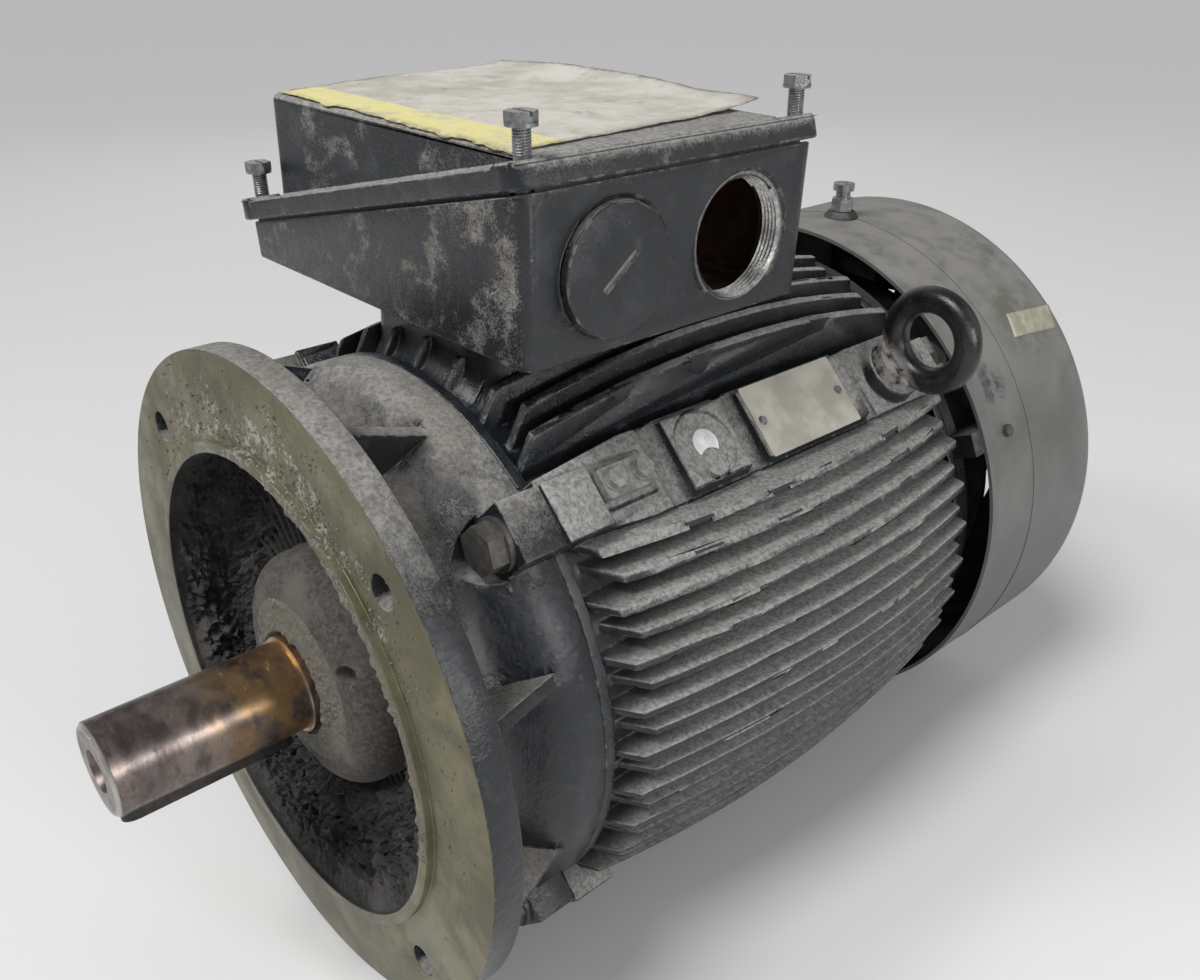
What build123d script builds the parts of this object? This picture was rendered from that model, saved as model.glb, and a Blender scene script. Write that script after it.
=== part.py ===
from build123d import *
from math import cos, radians, sin, tan
import os

# Flange-mounted three-phase induction motor, frame size 200, in mm.
# The shaft runs along Y with its drive end toward -Y. The origin is the centre of the
# flange's mounting face, +Z is up toward the terminal box.

# Mounting flange and shaft end
flange_d = 400
flange_t = 18
hole_circle_d = 350
flange_hole_d = 18.5
spigot_d = 300
spigot_h = 5
shaft_end_d = 55
shaft_end_length = 110
key_width = 16
key_length = 100
key_end_gap = 3
key_angle = -70
keyway_depth = 6
centre_hole_d = 17.5
centre_hole_depth = 42

# Stations along the shaft
shield_depth = 93
frame_length = 337
rear_shield_depth = 46
cowl_front_gap = 10
cowl_length = 148

# Clearances
seat_gap = 0.05
slide_gap = 0.3
air_gap = 0.5

# Stator frame
bore_r = 158
frame_wall = 10
envelope_r = 200
envelope_end_r = 187
fin_t = 4.6
fin_pitch = 14
top_fin_pitch = 16
long_fin_start = 5
short_fin_start = 13
end_collar = 7
end_collar_r = 175
end_bolt_r = 176
end_bolt_d = 16
rail_r = 187
rail_shift = 3.5
rail_end_gap = 22
pad_h = 5

# Stator and rotor
core_length = 190
stator_bore_r = 95
overhang_length = 46
overhang_gap = 12
rotor_shaft_r = 42

# Bearings, 60 x 110 x 22
bearing_bore_d = 60
bearing_outer_d = 110
bearing_width = 22
ball_count = 10
drive_bearing_y = 30
drive_hub_y = 8
hub_wall = 19

# Fan cowl and fan
cowl_r = 195
cowl_t = 2.5
cowl_corner_r = 14
fan_r = 158
fan_width = 48
fan_blades = 9
fan_seat_d = 48

# Terminal box
box_mid_x = -2
box_width = 268
box_length = 193
box_mid_y = 178.5
box_floor_z = 211
box_wall = 6
box_floor_t = 7
joint_z = 264
joint_slope = 13
lid_top_z = 306.5
lid_rim_t = 11
lid_rim_out = 4.5
entry_d = 63
entry_near_y = 135.5
entry_pitch = 88
entry_z = 251
lid_screw_inset = 9.5
lid_screw_d = 8
lid_screw_raise = 14

# Worked out from the sizes above
flange_r = flange_d / 2
spigot_r = spigot_d / 2
front_joint_y = shield_depth
rear_joint_y = front_joint_y + frame_length
frame_mid_y = (front_joint_y + rear_joint_y) / 2
wall_r = bore_r + frame_wall
overhang_r = bore_r - overhang_gap
core_front_y = frame_mid_y - core_length / 2
core_rear_y = frame_mid_y + core_length / 2
bearing_r = bearing_outer_d / 2
journal_r = bearing_bore_d / 2
pitch_r = (bearing_r + journal_r) / 2
ball_d = 0.3175 * (bearing_outer_d - bearing_bore_d)
race_shoulder = 0.11 * (bearing_outer_d - bearing_bore_d)
hub_r = bearing_r + hub_wall
rear_bearing_y = rear_joint_y + 14
rear_hub_y = rear_joint_y + rear_shield_depth
cowl_front_y = rear_joint_y + cowl_front_gap
cowl_back_y = cowl_front_y + cowl_length
fan_front_y = rear_hub_y + 28
shaft_rear_y = fan_front_y + fan_width - 6
rotor_r = stator_bore_r - air_gap
box_front_y = box_mid_y - box_length / 2
entry_rear_y = entry_near_y + entry_pitch
slope = tan(radians(joint_slope))


def station(y):
    """Plane across the shaft at y, its local x along +X and its local y along +Z."""
    return Plane.XZ.offset(-y)


def radial_plane(angle, y, r):
    """Plane facing outward at an angle round the shaft, its local x along +Y."""
    out = (cos(radians(angle)), 0, sin(radians(angle)))
    return Plane(origin=(r * out[0], y, r * out[2]), x_dir=(0, 1, 0), z_dir=out)


def rail_plane(angle, y, r):
    """Plane over a rail, moved from its lug toward the vertical mid-plane of the motor."""
    way = 1 if angle in (45, 225) else -1
    return Plane(radial_plane(angle, y, r).location * Pos(0, way * rail_shift, 0))


def web_plane(angle):
    """Plane through the shaft axis at an angle, its local x outward, its local y along +Y."""
    return Plane(
        origin=(0, 0, 0),
        x_dir=(cos(radians(angle)), 0, sin(radians(angle))),
        z_dir=(-sin(radians(angle)), 0, cos(radians(angle))),
    )


def joint_plane(rise=0):
    """Sloping joint of the terminal box, its local y along +Y, raised along Z."""
    x_dir = (cos(radians(joint_slope)), 0, sin(radians(joint_slope)))
    up = (-sin(radians(joint_slope)), 0, cos(radians(joint_slope)))
    return Plane(origin=(box_mid_x, box_mid_y, joint_z + rise), x_dir=x_dir, z_dir=up)


def finish(solid, name):
    solid.part.label = name
    export_step(solid.part, f"parts/{name}.step")


os.makedirs("parts", exist_ok=True)

# Drive end shield: flange, spigot, deep recess and bearing hub turned in one profile
recess_r = 143
recess_floor_y = 58
floor_t = 8
neck_r = 154
bell_r = end_collar_r
register_r = bore_r - seat_gap
register_h = 6
seal_r = 40
shaft_way_r = 33
cover_screw_r = hub_r - 12
cover_screw_d = 6
cover_screw_sink = 6
web_angles = (20, 70, 110, 160, 200, 250, 290, 340)
lug_front_y = front_joint_y - 27
lug_size = 34
recess_rib_count = 56
recess_rib_t = 5

with BuildPart() as drive_shield:
    with BuildSketch(Plane.XY):
        with BuildLine():
            Polyline(
                (recess_r, recess_floor_y), (recess_r, -spigot_h), (spigot_r, -spigot_h), (spigot_r, 0),
                (flange_r, 0), (flange_r, flange_t), (neck_r + 6, flange_t), (neck_r, flange_t + 8),
                (neck_r, flange_t + 20),
            )
            Spline(
                (neck_r, flange_t + 20), (neck_r + 6, flange_t + 36), (bell_r, front_joint_y - 16),
                tangents=((0, 1), (0.25, 1)),
            )
            Polyline(
                (bell_r, front_joint_y - 16), (bell_r, front_joint_y), (register_r, front_joint_y),
                (register_r, front_joint_y + register_h), (register_r - 9, front_joint_y + register_h),
                (register_r - 9, front_joint_y - 8), (recess_r, recess_floor_y + 22),
                (recess_r - 8, recess_floor_y + floor_t), (hub_r - 6, recess_floor_y + floor_t),
                (hub_r - 6, drive_bearing_y + bearing_width + 2),
                (bearing_r + seat_gap, drive_bearing_y + bearing_width + 2),
                (bearing_r + seat_gap, drive_bearing_y - 2), (shaft_way_r + 8, drive_bearing_y - 2),
                (shaft_way_r, drive_bearing_y - 2), (shaft_way_r, drive_hub_y + 10),
                (seal_r, drive_hub_y + 10), (seal_r, drive_hub_y), (seal_r + 12, drive_hub_y),
            )
            ThreePointArc(
                (seal_r + 12, drive_hub_y), (hub_r - 5, drive_hub_y + 7), (hub_r, drive_hub_y + 24)
            )
            Polyline(
                (hub_r, drive_hub_y + 24), (hub_r + 3, recess_floor_y - 8),
                (hub_r + 11, recess_floor_y), (recess_r, recess_floor_y),
            )
        make_face()
    revolve(axis=Axis.Y)
    with BuildSketch(station(recess_floor_y + 2)):
        with PolarLocations((hub_r + recess_r) / 2, recess_rib_count):
            Rectangle(recess_r - hub_r, recess_rib_t)
    extrude(amount=24, taper=2)
    with BuildSketch(station(front_joint_y)):
        with PolarLocations(end_bolt_r - 6, 4, start_angle=45):
            Rectangle(lug_size + 10, lug_size)
        Circle(neck_r, mode=Mode.SUBTRACT)
    extrude(amount=front_joint_y - lug_front_y)
    with BuildSketch(station(flange_t)):
        with PolarLocations(end_bolt_r, 4, start_angle=45):
            Circle(20)
    extrude(amount=-(lug_front_y - flange_t), mode=Mode.SUBTRACT)
    for angle in web_angles:
        with BuildSketch(web_plane(angle)):
            Polygon(
                (neck_r - 4, flange_t - 1), (flange_r - 8, flange_t - 1), (bell_r - 6, front_joint_y - 14),
                (neck_r - 4, front_joint_y - 14), align=None,
            )
        extrude(amount=4, both=True)
    with Locations(station(0)):
        with PolarLocations(hole_circle_d / 2, 4, start_angle=45):
            Hole(flange_hole_d / 2, depth=flange_t + 1)
    with Locations(station(lug_front_y)):
        with PolarLocations(end_bolt_r, 4, start_angle=45):
            Hole(end_bolt_d / 2 + slide_gap, depth=30)
    with Locations(station(drive_hub_y)):
        with PolarLocations(cover_screw_r, 3, start_angle=30):
            CounterBoreHole(
                cover_screw_d / 2 + seat_gap, cover_screw_d, cover_screw_sink + 6,
                depth=drive_bearing_y + bearing_width,
            )
finish(drive_shield, "drive_end_shield")

# Rear end shield: bell inside the cowl, bearing pocket open toward the motor, ribs on its back
rear_lug_t = 14
rear_rib_count = 8
locating_y = rear_bearing_y + bearing_width
cowl_inner_r = cowl_r - cowl_t
cowl_screw_y = cowl_front_y + 27
cowl_screw_d = 5
cowl_screw_angle = 25
cowl_post_t = 22
cowl_post_w = 16
grease_y = rear_hub_y + 16
grease_z = hub_r - 16
grease_pipe_d = 8

with BuildPart() as rear_shield:
    with BuildSketch(Plane.XY):
        Polygon(
            (register_r, rear_joint_y - register_h), (register_r, rear_joint_y), (bell_r, rear_joint_y),
            (bell_r, rear_joint_y + rear_lug_t - 4), (bell_r - 18, rear_joint_y + rear_lug_t + 4),
            (hub_r + 14, rear_hub_y - 12), (hub_r - 2, rear_hub_y), (shaft_way_r + 3, rear_hub_y),
            (shaft_way_r + 3, locating_y), (bearing_r + seat_gap, locating_y),
            (bearing_r + seat_gap, rear_bearing_y - 2), (hub_r - 2, rear_bearing_y - 2),
            (hub_r + 12, rear_hub_y - 22), (bell_r - 30, rear_joint_y + rear_lug_t - 6),
            (register_r - 9, rear_joint_y), (register_r - 9, rear_joint_y - register_h), align=None,
        )
    revolve(axis=Axis.Y)
    for index in range(rear_rib_count):
        with BuildSketch(web_plane(360 / rear_rib_count * (index + 0.5))):
            Polygon(
                (hub_r - 6, rear_hub_y - 3), (bell_r - 14, rear_joint_y + rear_lug_t + 2),
                (bell_r - 20, rear_joint_y + rear_lug_t - 5), (hub_r + 12, rear_hub_y - 20), align=None,
            )
        extrude(amount=3, both=True)
    with BuildSketch(station(rear_joint_y)):
        with PolarLocations(end_bolt_r - 8, 4, start_angle=45):
            Rectangle(30, lug_size)
        Circle(bell_r - 6, mode=Mode.SUBTRACT)
    extrude(amount=-rear_lug_t)
    with BuildSketch(station(rear_joint_y)):
        with PolarLocations(cowl_inner_r - cowl_post_t / 2, 4, start_angle=cowl_screw_angle):
            Rectangle(cowl_post_t, cowl_post_w)
    extrude(amount=-(cowl_screw_y + cowl_post_w / 2 - rear_joint_y))
    with BuildSketch(station(rear_joint_y)):
        Circle(flange_r + 40)
        Circle(cowl_inner_r - seat_gap, mode=Mode.SUBTRACT)
    extrude(amount=-rear_shield_depth, mode=Mode.SUBTRACT)
    with BuildSketch(station(rear_joint_y + rear_lug_t)):
        with PolarLocations(end_bolt_r, 4, start_angle=45):
            Circle(15)
    extrude(amount=-20, mode=Mode.SUBTRACT)
    with BuildSketch(station(rear_joint_y)):
        with PolarLocations(end_bolt_r, 4, start_angle=45):
            Circle(end_bolt_d / 2 + slide_gap)
    extrude(amount=-rear_lug_t, mode=Mode.SUBTRACT)
    for index in range(4):
        with Locations(radial_plane(cowl_screw_angle + 90 * index, cowl_screw_y, cowl_inner_r)):
            Hole(cowl_screw_d / 2 + seat_gap, depth=16)
    with Locations(station(rear_bearing_y - 2)):
        with PolarLocations(cover_screw_r, 3, start_angle=30):
            Hole(cover_screw_d / 2 + seat_gap, depth=rear_hub_y - rear_bearing_y + 4)
    with BuildSketch(station(rear_hub_y - cover_screw_sink)):
        with PolarLocations(cover_screw_r, 3, start_angle=30):
            Circle(cover_screw_d)
    extrude(amount=-20, mode=Mode.SUBTRACT)
    with BuildSketch(station(rear_hub_y - 12)):
        with Locations((0, grease_z)):
            Circle(grease_pipe_d / 2 + seat_gap)
    extrude(amount=-20, mode=Mode.SUBTRACT)
finish(rear_shield, "rear_end_shield")

# Stator frame: two sets of cooling fins with staggered ends, cut by one arched envelope
rail_front_w = 36
rail_w = 50
rail_step_y = front_joint_y + 62
rail_rear_y = rear_joint_y - rail_end_gap
pedestal_w = 118
pedestal_l = 125
pedestal_corner_r = 14
pedestal_taper = 3
pedestal_foot_r = 18
box_gasket_t = 2
pedestal_top_z = box_floor_z - box_gasket_t
duct_w = 84
duct_l = 60
duct_corner_r = 18
box_screw_d = 8
box_screw_pitch_x = 96
box_screw_pitch_y = 76
earth_pad_y = 142
earth_pad_h = 3
earth_screw_d = 6
earth_screw_pitch = 19
disc_ring_y = 203.5
disc_ring_r = 20.5
disc_r = 9
plate_y = 286
rivet_d = 3.2
rivet_pitch = 70
eye_seat_y = 380
eye_seat_r = 22
eye_seat_h = 9
eye_thread_d = 16
scoop_r = 8
scoop_ys = (174, 235.5, 346)

fin_sets = []
for start, shift in ((long_fin_start, 0), (short_fin_start, 1)):
    with BuildPart() as fins:
        with BuildSketch(station(front_joint_y)):
            with GridLocations(0, 2 * fin_pitch, 1, 9 - shift):
                Rectangle(2 * flange_r, fin_t)
            with GridLocations(2 * top_fin_pitch, 0, 7 - shift, 1):
                Rectangle(fin_t, 2 * flange_r)
            Circle(wall_r - 1, mode=Mode.SUBTRACT)
        extrude(amount=-frame_length)
        with BuildSketch(Plane.XY):
            with BuildLine():
                front_y = front_joint_y + start
                back_y = rear_joint_y - start
                ThreePointArc(
                    (envelope_end_r, front_y + 13), (envelope_r, frame_mid_y), (envelope_end_r, back_y - 5)
                )
                Polyline(
                    (envelope_end_r, back_y - 5), (wall_r - 2, back_y), (100, back_y),
                    (100, front_y), (wall_r - 2, front_y), (envelope_end_r, front_y + 13),
                )
            make_face()
        revolve(axis=Axis.Y, mode=Mode.INTERSECT)
    fin_sets.append(fins.part)

with BuildPart() as frame:
    with BuildSketch(station(front_joint_y)):
        Circle(wall_r)
    extrude(amount=-frame_length)
    with BuildSketch(Plane.XY.offset(pedestal_top_z)):
        with Locations((box_mid_x, box_mid_y)):
            RectangleRounded(pedestal_w, pedestal_l, pedestal_corner_r)
    extrude(amount=-(pedestal_top_z - 0.8 * bore_r), taper=-pedestal_taper)
    foot = frame.edges(Select.NEW).filter_by(lambda edge: edge.bounding_box().max.Z < wall_r + 1)
    fillet(foot, pedestal_foot_r)
    with BuildSketch(station(front_joint_y)):
        Circle(end_collar_r)
    extrude(amount=-end_collar)
    with BuildSketch(station(rear_joint_y - end_collar)):
        Circle(end_collar_r)
    extrude(amount=-end_collar)
    add(fin_sets)
    for angle in (45, 135, 225, 315):
        with BuildSketch(rail_plane(angle, front_joint_y, bore_r - 6)):
            widening = rail_step_y - front_joint_y
            with Locations((widening, 0)):
                Rectangle(rail_rear_y - rail_step_y, rail_w, align=(Align.MIN, Align.CENTER))
            Polygon(
                (0, rail_front_w / 2), (0, -rail_front_w / 2), (widening, -rail_w / 2), (widening, rail_w / 2),
                align=None,
            )
        extrude(amount=rail_r - bore_r + 6, taper=1)
        with BuildSketch(radial_plane(angle, front_joint_y, bore_r)):
            Rectangle(30, lug_size, align=(Align.MIN, Align.CENTER))
        extrude(amount=end_bolt_r + 18 - bore_r)
        with BuildSketch(radial_plane(angle, rear_joint_y, bore_r)):
            Rectangle(26, lug_size, align=(Align.MAX, Align.CENTER))
        extrude(amount=cowl_inner_r - 4 - bore_r)
    with BuildSketch(rail_plane(45, 0, rail_r - 2)):
        with Locations((scoop_ys[0], 0)):
            Rectangle(scoop_ys[2] - scoop_ys[0], rail_w - 1, align=(Align.MIN, Align.CENTER))
    extrude(amount=pad_h + 4, taper=20)
    for y in scoop_ys:
        with Locations(rail_plane(45, y, rail_r + pad_h)):
            Cylinder(scoop_r, 2 * rail_w, rotation=(90, 0, 0), mode=Mode.SUBTRACT)
    with BuildSketch(rail_plane(45, disc_ring_y, rail_r + pad_h + 2)):
        Circle(disc_ring_r)
    extrude(amount=-0.8, mode=Mode.SUBTRACT)
    with BuildSketch(rail_plane(45, disc_ring_y, rail_r + pad_h)):
        with Locations((0, -1.3 * disc_r)):
            Circle(disc_r)
    extrude(amount=2.6)
    with BuildSketch(rail_plane(45, earth_pad_y, rail_r - 2)):
        Rectangle(42, 26)
    extrude(amount=earth_pad_h + 2, taper=8)
    for angle in (45, 135):
        with BuildSketch(rail_plane(angle, eye_seat_y, rail_r - 2)):
            Circle(eye_seat_r)
        extrude(amount=eye_seat_h + 2, taper=6)
    with BuildSketch(station(front_joint_y - 1)):
        Circle(bore_r)
    extrude(amount=-frame_length - 2, mode=Mode.SUBTRACT)
    with BuildSketch(Plane.XY.offset(pedestal_top_z)):
        with Locations((box_mid_x, box_mid_y)):
            RectangleRounded(duct_w, duct_l, duct_corner_r)
    extrude(amount=-(pedestal_top_z - 100), mode=Mode.SUBTRACT)
    for y, depth in ((front_joint_y, -34), (rear_joint_y, 30)):
        with BuildSketch(station(y)):
            with PolarLocations(end_bolt_r, 4, start_angle=45):
                Circle(end_bolt_d / 2 + seat_gap)
        extrude(amount=depth, mode=Mode.SUBTRACT)
    for angle in (45, 135):
        with Locations(rail_plane(angle, eye_seat_y, rail_r + eye_seat_h)):
            Hole(eye_thread_d / 2 + seat_gap, depth=28)
    with Locations(Location(rail_plane(45, earth_pad_y, rail_r + earth_pad_h))):
        with GridLocations(earth_screw_pitch, 0, 2, 1):
            Hole(earth_screw_d / 2 + seat_gap, depth=14)
    with Locations(Location(rail_plane(45, plate_y, rail_r + pad_h + 2))):
        with GridLocations(rivet_pitch, 0, 2, 1):
            Hole(rivet_d / 2 + seat_gap, depth=6)
    with Locations(Plane.XY.offset(pedestal_top_z)):
        with Locations((box_mid_x, box_mid_y)):
            with GridLocations(box_screw_pitch_x, box_screw_pitch_y, 2, 2):
                Hole(box_screw_d / 2 + seat_gap, depth=20)
finish(frame, "stator_frame")

# Stator core and winding overhangs
with BuildPart() as core:
    with BuildSketch(station(core_front_y)):
        Circle(bore_r - seat_gap)
        Circle(stator_bore_r, mode=Mode.SUBTRACT)
    extrude(amount=-core_length)
finish(core, "stator_core")

with BuildPart() as winding:
    with BuildSketch(Plane.XY):
        for base, way in ((core_front_y, -1), (core_rear_y, 1)):
            with BuildLine():
                Polyline(
                    (stator_bore_r + 12, base), (stator_bore_r + 10, base + way * overhang_length),
                    (overhang_r - 6, base + way * overhang_length), (overhang_r, base + way * 18),
                    (overhang_r - 3, base), close=True,
                )
            make_face()
    revolve(axis=Axis.Y)
    fillet(winding.edges().filter_by(GeomType.CIRCLE).group_by(Axis.Y)[0], 8)
    fillet(winding.edges().filter_by(GeomType.CIRCLE).group_by(Axis.Y)[-1], 8)
finish(winding, "stator_winding")

# Shaft with its drive keyway and tapped centre
shaft_end_r = shaft_end_d / 2
fan_seat_r = fan_seat_d / 2
locating_ring_t = 2
with BuildPart() as shaft:
    with BuildSketch(Plane.XY):
        Polygon(
            (0, -shaft_end_length), (shaft_end_r - 2, -shaft_end_length), (shaft_end_r, -shaft_end_length + 2),
            (shaft_end_r, 0), (journal_r - 0.8, 0), (journal_r, 0.8), (journal_r, drive_bearing_y + bearing_width),
            (journal_r + 5, drive_bearing_y + bearing_width), (journal_r + 5, core_front_y - 24),
            (rotor_shaft_r, core_front_y - 24), (rotor_shaft_r, core_rear_y + 24),
            (journal_r + 5, core_rear_y + 24), (journal_r + 5, rear_bearing_y), (journal_r, rear_bearing_y),
            (journal_r, locating_y), (journal_r - 2, locating_y), (journal_r - 2, locating_y + locating_ring_t),
            (journal_r, locating_y + locating_ring_t), (journal_r, locating_y + locating_ring_t + 3),
            (fan_seat_r, locating_y + locating_ring_t + 3), (fan_seat_r, shaft_rear_y - 8),
            (fan_seat_r - 1.5, shaft_rear_y - 8), (fan_seat_r - 1.5, shaft_rear_y - 6),
            (fan_seat_r, shaft_rear_y - 6), (fan_seat_r, shaft_rear_y - 1), (fan_seat_r - 1, shaft_rear_y),
            (0, shaft_rear_y), align=None,
        )
    revolve(axis=Axis.Y)
    key_mid_y = -shaft_end_length + key_end_gap + key_length / 2
    with BuildSketch(radial_plane(key_angle, key_mid_y, shaft_end_r)):
        SlotOverall(key_length, key_width)
    extrude(amount=-keyway_depth, mode=Mode.SUBTRACT)
    with Locations(station(-shaft_end_length)):
        CounterSinkHole(centre_hole_d / 2, centre_hole_d / 2 + 4, depth=centre_hole_depth,
                        counter_sink_angle=60)
    with BuildSketch(Plane.XY.offset(fan_seat_r - 4)):
        with Locations((0, fan_front_y + 12)):
            SlotOverall(26, 10, rotation=90)
    extrude(amount=6, mode=Mode.SUBTRACT)
finish(shaft, "shaft")

# Rotor core and cage with blades on its end rings
with BuildPart() as rotor_core:
    with BuildSketch(station(core_front_y)):
        Circle(rotor_r)
        Circle(rotor_shaft_r + seat_gap, mode=Mode.SUBTRACT)
    extrude(amount=-core_length)
finish(rotor_core, "rotor_core")

cage_ring_t = 14
with BuildPart() as rotor_cage:
    for base, way in ((core_front_y, 1), (core_rear_y, -1)):
        with BuildSketch(station(base)):
            Circle(rotor_r - 3)
            Circle(rotor_r - 32, mode=Mode.SUBTRACT)
        extrude(amount=way * cage_ring_t)
        with BuildSketch(station(base - way * (cage_ring_t - 1))):
            with PolarLocations(rotor_r - 17, 12):
                Rectangle(22, 3.5)
        extrude(amount=way * 14)
finish(rotor_cage, "rotor_cage")


def make_bearing(side, front_y):
    """Deep groove ball bearing in four nodes, its front face at front_y."""
    mid_y = front_y + bearing_width / 2
    groove_r = ball_d / 2 + 0.12
    for name, inner, outer in (
        ("outer_race", bearing_r - race_shoulder - 2, bearing_r),
        ("inner_race", journal_r + seat_gap, journal_r + race_shoulder + 2),
    ):
        with BuildPart() as race:
            with BuildSketch(Plane.XY):
                with Locations(((inner + outer) / 2, mid_y)):
                    Rectangle(outer - inner, bearing_width)
                with Locations((pitch_r, mid_y)):
                    Circle(groove_r, mode=Mode.SUBTRACT)
            revolve(axis=Axis.Y)
        finish(race, f"{side}_bearing_{name}")
    with BuildPart() as cage:
        with BuildSketch(station(mid_y)):
            Circle(pitch_r + 1.8)
            Circle(pitch_r - 1.8, mode=Mode.SUBTRACT)
        extrude(amount=ball_d / 2 + 1.5, both=True)
        for index in range(ball_count):
            with Locations(radial_plane(360 / ball_count * index, mid_y, pitch_r)):
                Cylinder(ball_d / 2 + 0.3, 12, mode=Mode.SUBTRACT)
    finish(cage, f"{side}_bearing_cage")
    with BuildPart() as balls:
        for index in range(ball_count):
            with Locations(radial_plane(360 / ball_count * index, mid_y, pitch_r)):
                Sphere(ball_d / 2)
    finish(balls, f"{side}_bearing_balls")


make_bearing("drive", drive_bearing_y)
make_bearing("rear", rear_bearing_y)

# Wave washer that preloads the drive bearing, shaft seal and inner bearing covers
with BuildPart() as washer:
    with BuildSketch(station(drive_bearing_y - 1.9)):
        Circle(bearing_r - 1)
        Circle(bearing_r - 7, mode=Mode.SUBTRACT)
    extrude(amount=-1.8)
finish(washer, "drive_wave_washer")

with BuildPart() as seal:
    with BuildSketch(Plane.XY):
        Polygon(
            (seal_r - seat_gap, drive_hub_y + 1), (seal_r - seat_gap, drive_hub_y + 9),
            (journal_r + 4, drive_hub_y + 9), (journal_r + 2, drive_hub_y + 6),
            (journal_r + 0.08, drive_hub_y + 4), (journal_r + 0.08, drive_hub_y + 3),
            (journal_r + 4, drive_hub_y + 1), align=None,
        )
    revolve(axis=Axis.Y)
finish(seal, "drive_shaft_seal")

cover_r = hub_r - 6
cover_t = 8
for side, face_y, way in (
    ("drive", drive_bearing_y + bearing_width + 2, 1), ("rear", rear_bearing_y - 2, -1),
):
    with BuildPart() as cover:
        with BuildSketch(Plane.XY):
            Polygon(
                (journal_r + 5.4, face_y + way * cover_t), (cover_r, face_y + way * cover_t), (cover_r, face_y),
                (bearing_r - seat_gap, face_y), (bearing_r - seat_gap, face_y - way * 2),
                (bearing_r - 5, face_y - way * 2), (bearing_r - 6, face_y + way * 3),
                (journal_r + 5.4, face_y + way * 3), align=None,
            )
        revolve(axis=Axis.Y)
        with BuildSketch(station(face_y)):
            with PolarLocations(cover_screw_r, 3, start_angle=30):
                Circle(cover_screw_d / 2 + seat_gap)
        extrude(amount=-way * (cover_t + 1), mode=Mode.SUBTRACT)
    finish(cover, f"{side}_inner_bearing_cover")


def hex_screw(head_plane, shank_d, length, across_flats, head_t, washer=True):
    """Hex screw whose bearing face lies on head_plane; its shank runs against the plane's normal."""
    with BuildPart() as screw:
        lift = 0
        if washer:
            lift = shank_d * 0.18
            with BuildSketch(head_plane):
                Circle(across_flats * 0.62)
            extrude(amount=lift)
        with BuildSketch(head_plane.offset(lift)):
            RegularPolygon(across_flats / 2, 6, major_radius=False)
        extrude(amount=head_t)
        with BuildSketch(head_plane):
            Circle(shank_d / 2)
        extrude(amount=-length)
    return screw.part


def group(name, solids):
    """One node that holds several equal, separate solids."""
    whole = Compound(label=name, children=solids)
    export_step(whole, f"parts/{name}.step")


# Bolts of both end shields
drive_bolts = []
rear_bolts = []
for index in range(4):
    angle = radians(45 + 90 * index)
    at = (end_bolt_r * cos(angle), end_bolt_r * sin(angle))
    front = Plane(origin=(at[0], lug_front_y, at[1]), x_dir=(cos(angle), 0, sin(angle)), z_dir=(0, -1, 0))
    back = Plane(origin=(at[0], rear_joint_y + rear_lug_t, at[1]), x_dir=(cos(angle), 0, sin(angle)),
                 z_dir=(0, 1, 0))
    drive_bolts.append(hex_screw(front, end_bolt_d, 52, 24, 10))
    rear_bolts.append(hex_screw(back, end_bolt_d, 40, 24, 10, washer=False))
group("drive_shield_bolts", drive_bolts)
group("rear_shield_bolts", rear_bolts)

# Screws of the inner bearing covers, through the hubs
drive_cover_screws = []
rear_cover_screws = []
drive_head_y = drive_hub_y + cover_screw_sink + 6
rear_head_y = rear_hub_y - cover_screw_sink
for index in range(3):
    angle = radians(30 + 120 * index)
    x = cover_screw_r * cos(angle)
    z = cover_screw_r * sin(angle)
    front = Plane(origin=(x, drive_head_y, z), x_dir=(1, 0, 0), z_dir=(0, -1, 0))
    back = Plane(origin=(x, rear_head_y, z), x_dir=(1, 0, 0), z_dir=(0, 1, 0))
    drive_length = drive_bearing_y + bearing_width + 2 + cover_t - drive_head_y
    rear_length = rear_head_y - rear_bearing_y + 2 + cover_t
    drive_cover_screws.append(hex_screw(front, cover_screw_d, drive_length, 10, 4, washer=False))
    rear_cover_screws.append(hex_screw(back, cover_screw_d, rear_length, 10, 4, washer=False))
group("drive_cover_screws", drive_cover_screws)
group("rear_cover_screws", rear_cover_screws)

# Rear locating ring in the shaft groove
with BuildPart() as locating_ring:
    with BuildSketch(station(locating_y)):
        Circle(journal_r + 4)
        Circle(journal_r - 2 + seat_gap, mode=Mode.SUBTRACT)
        with Locations((0, journal_r + 2)):
            Rectangle(8, 8, mode=Mode.SUBTRACT)
    extrude(amount=-(locating_ring_t - seat_gap))
finish(locating_ring, "rear_locating_ring")

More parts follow.
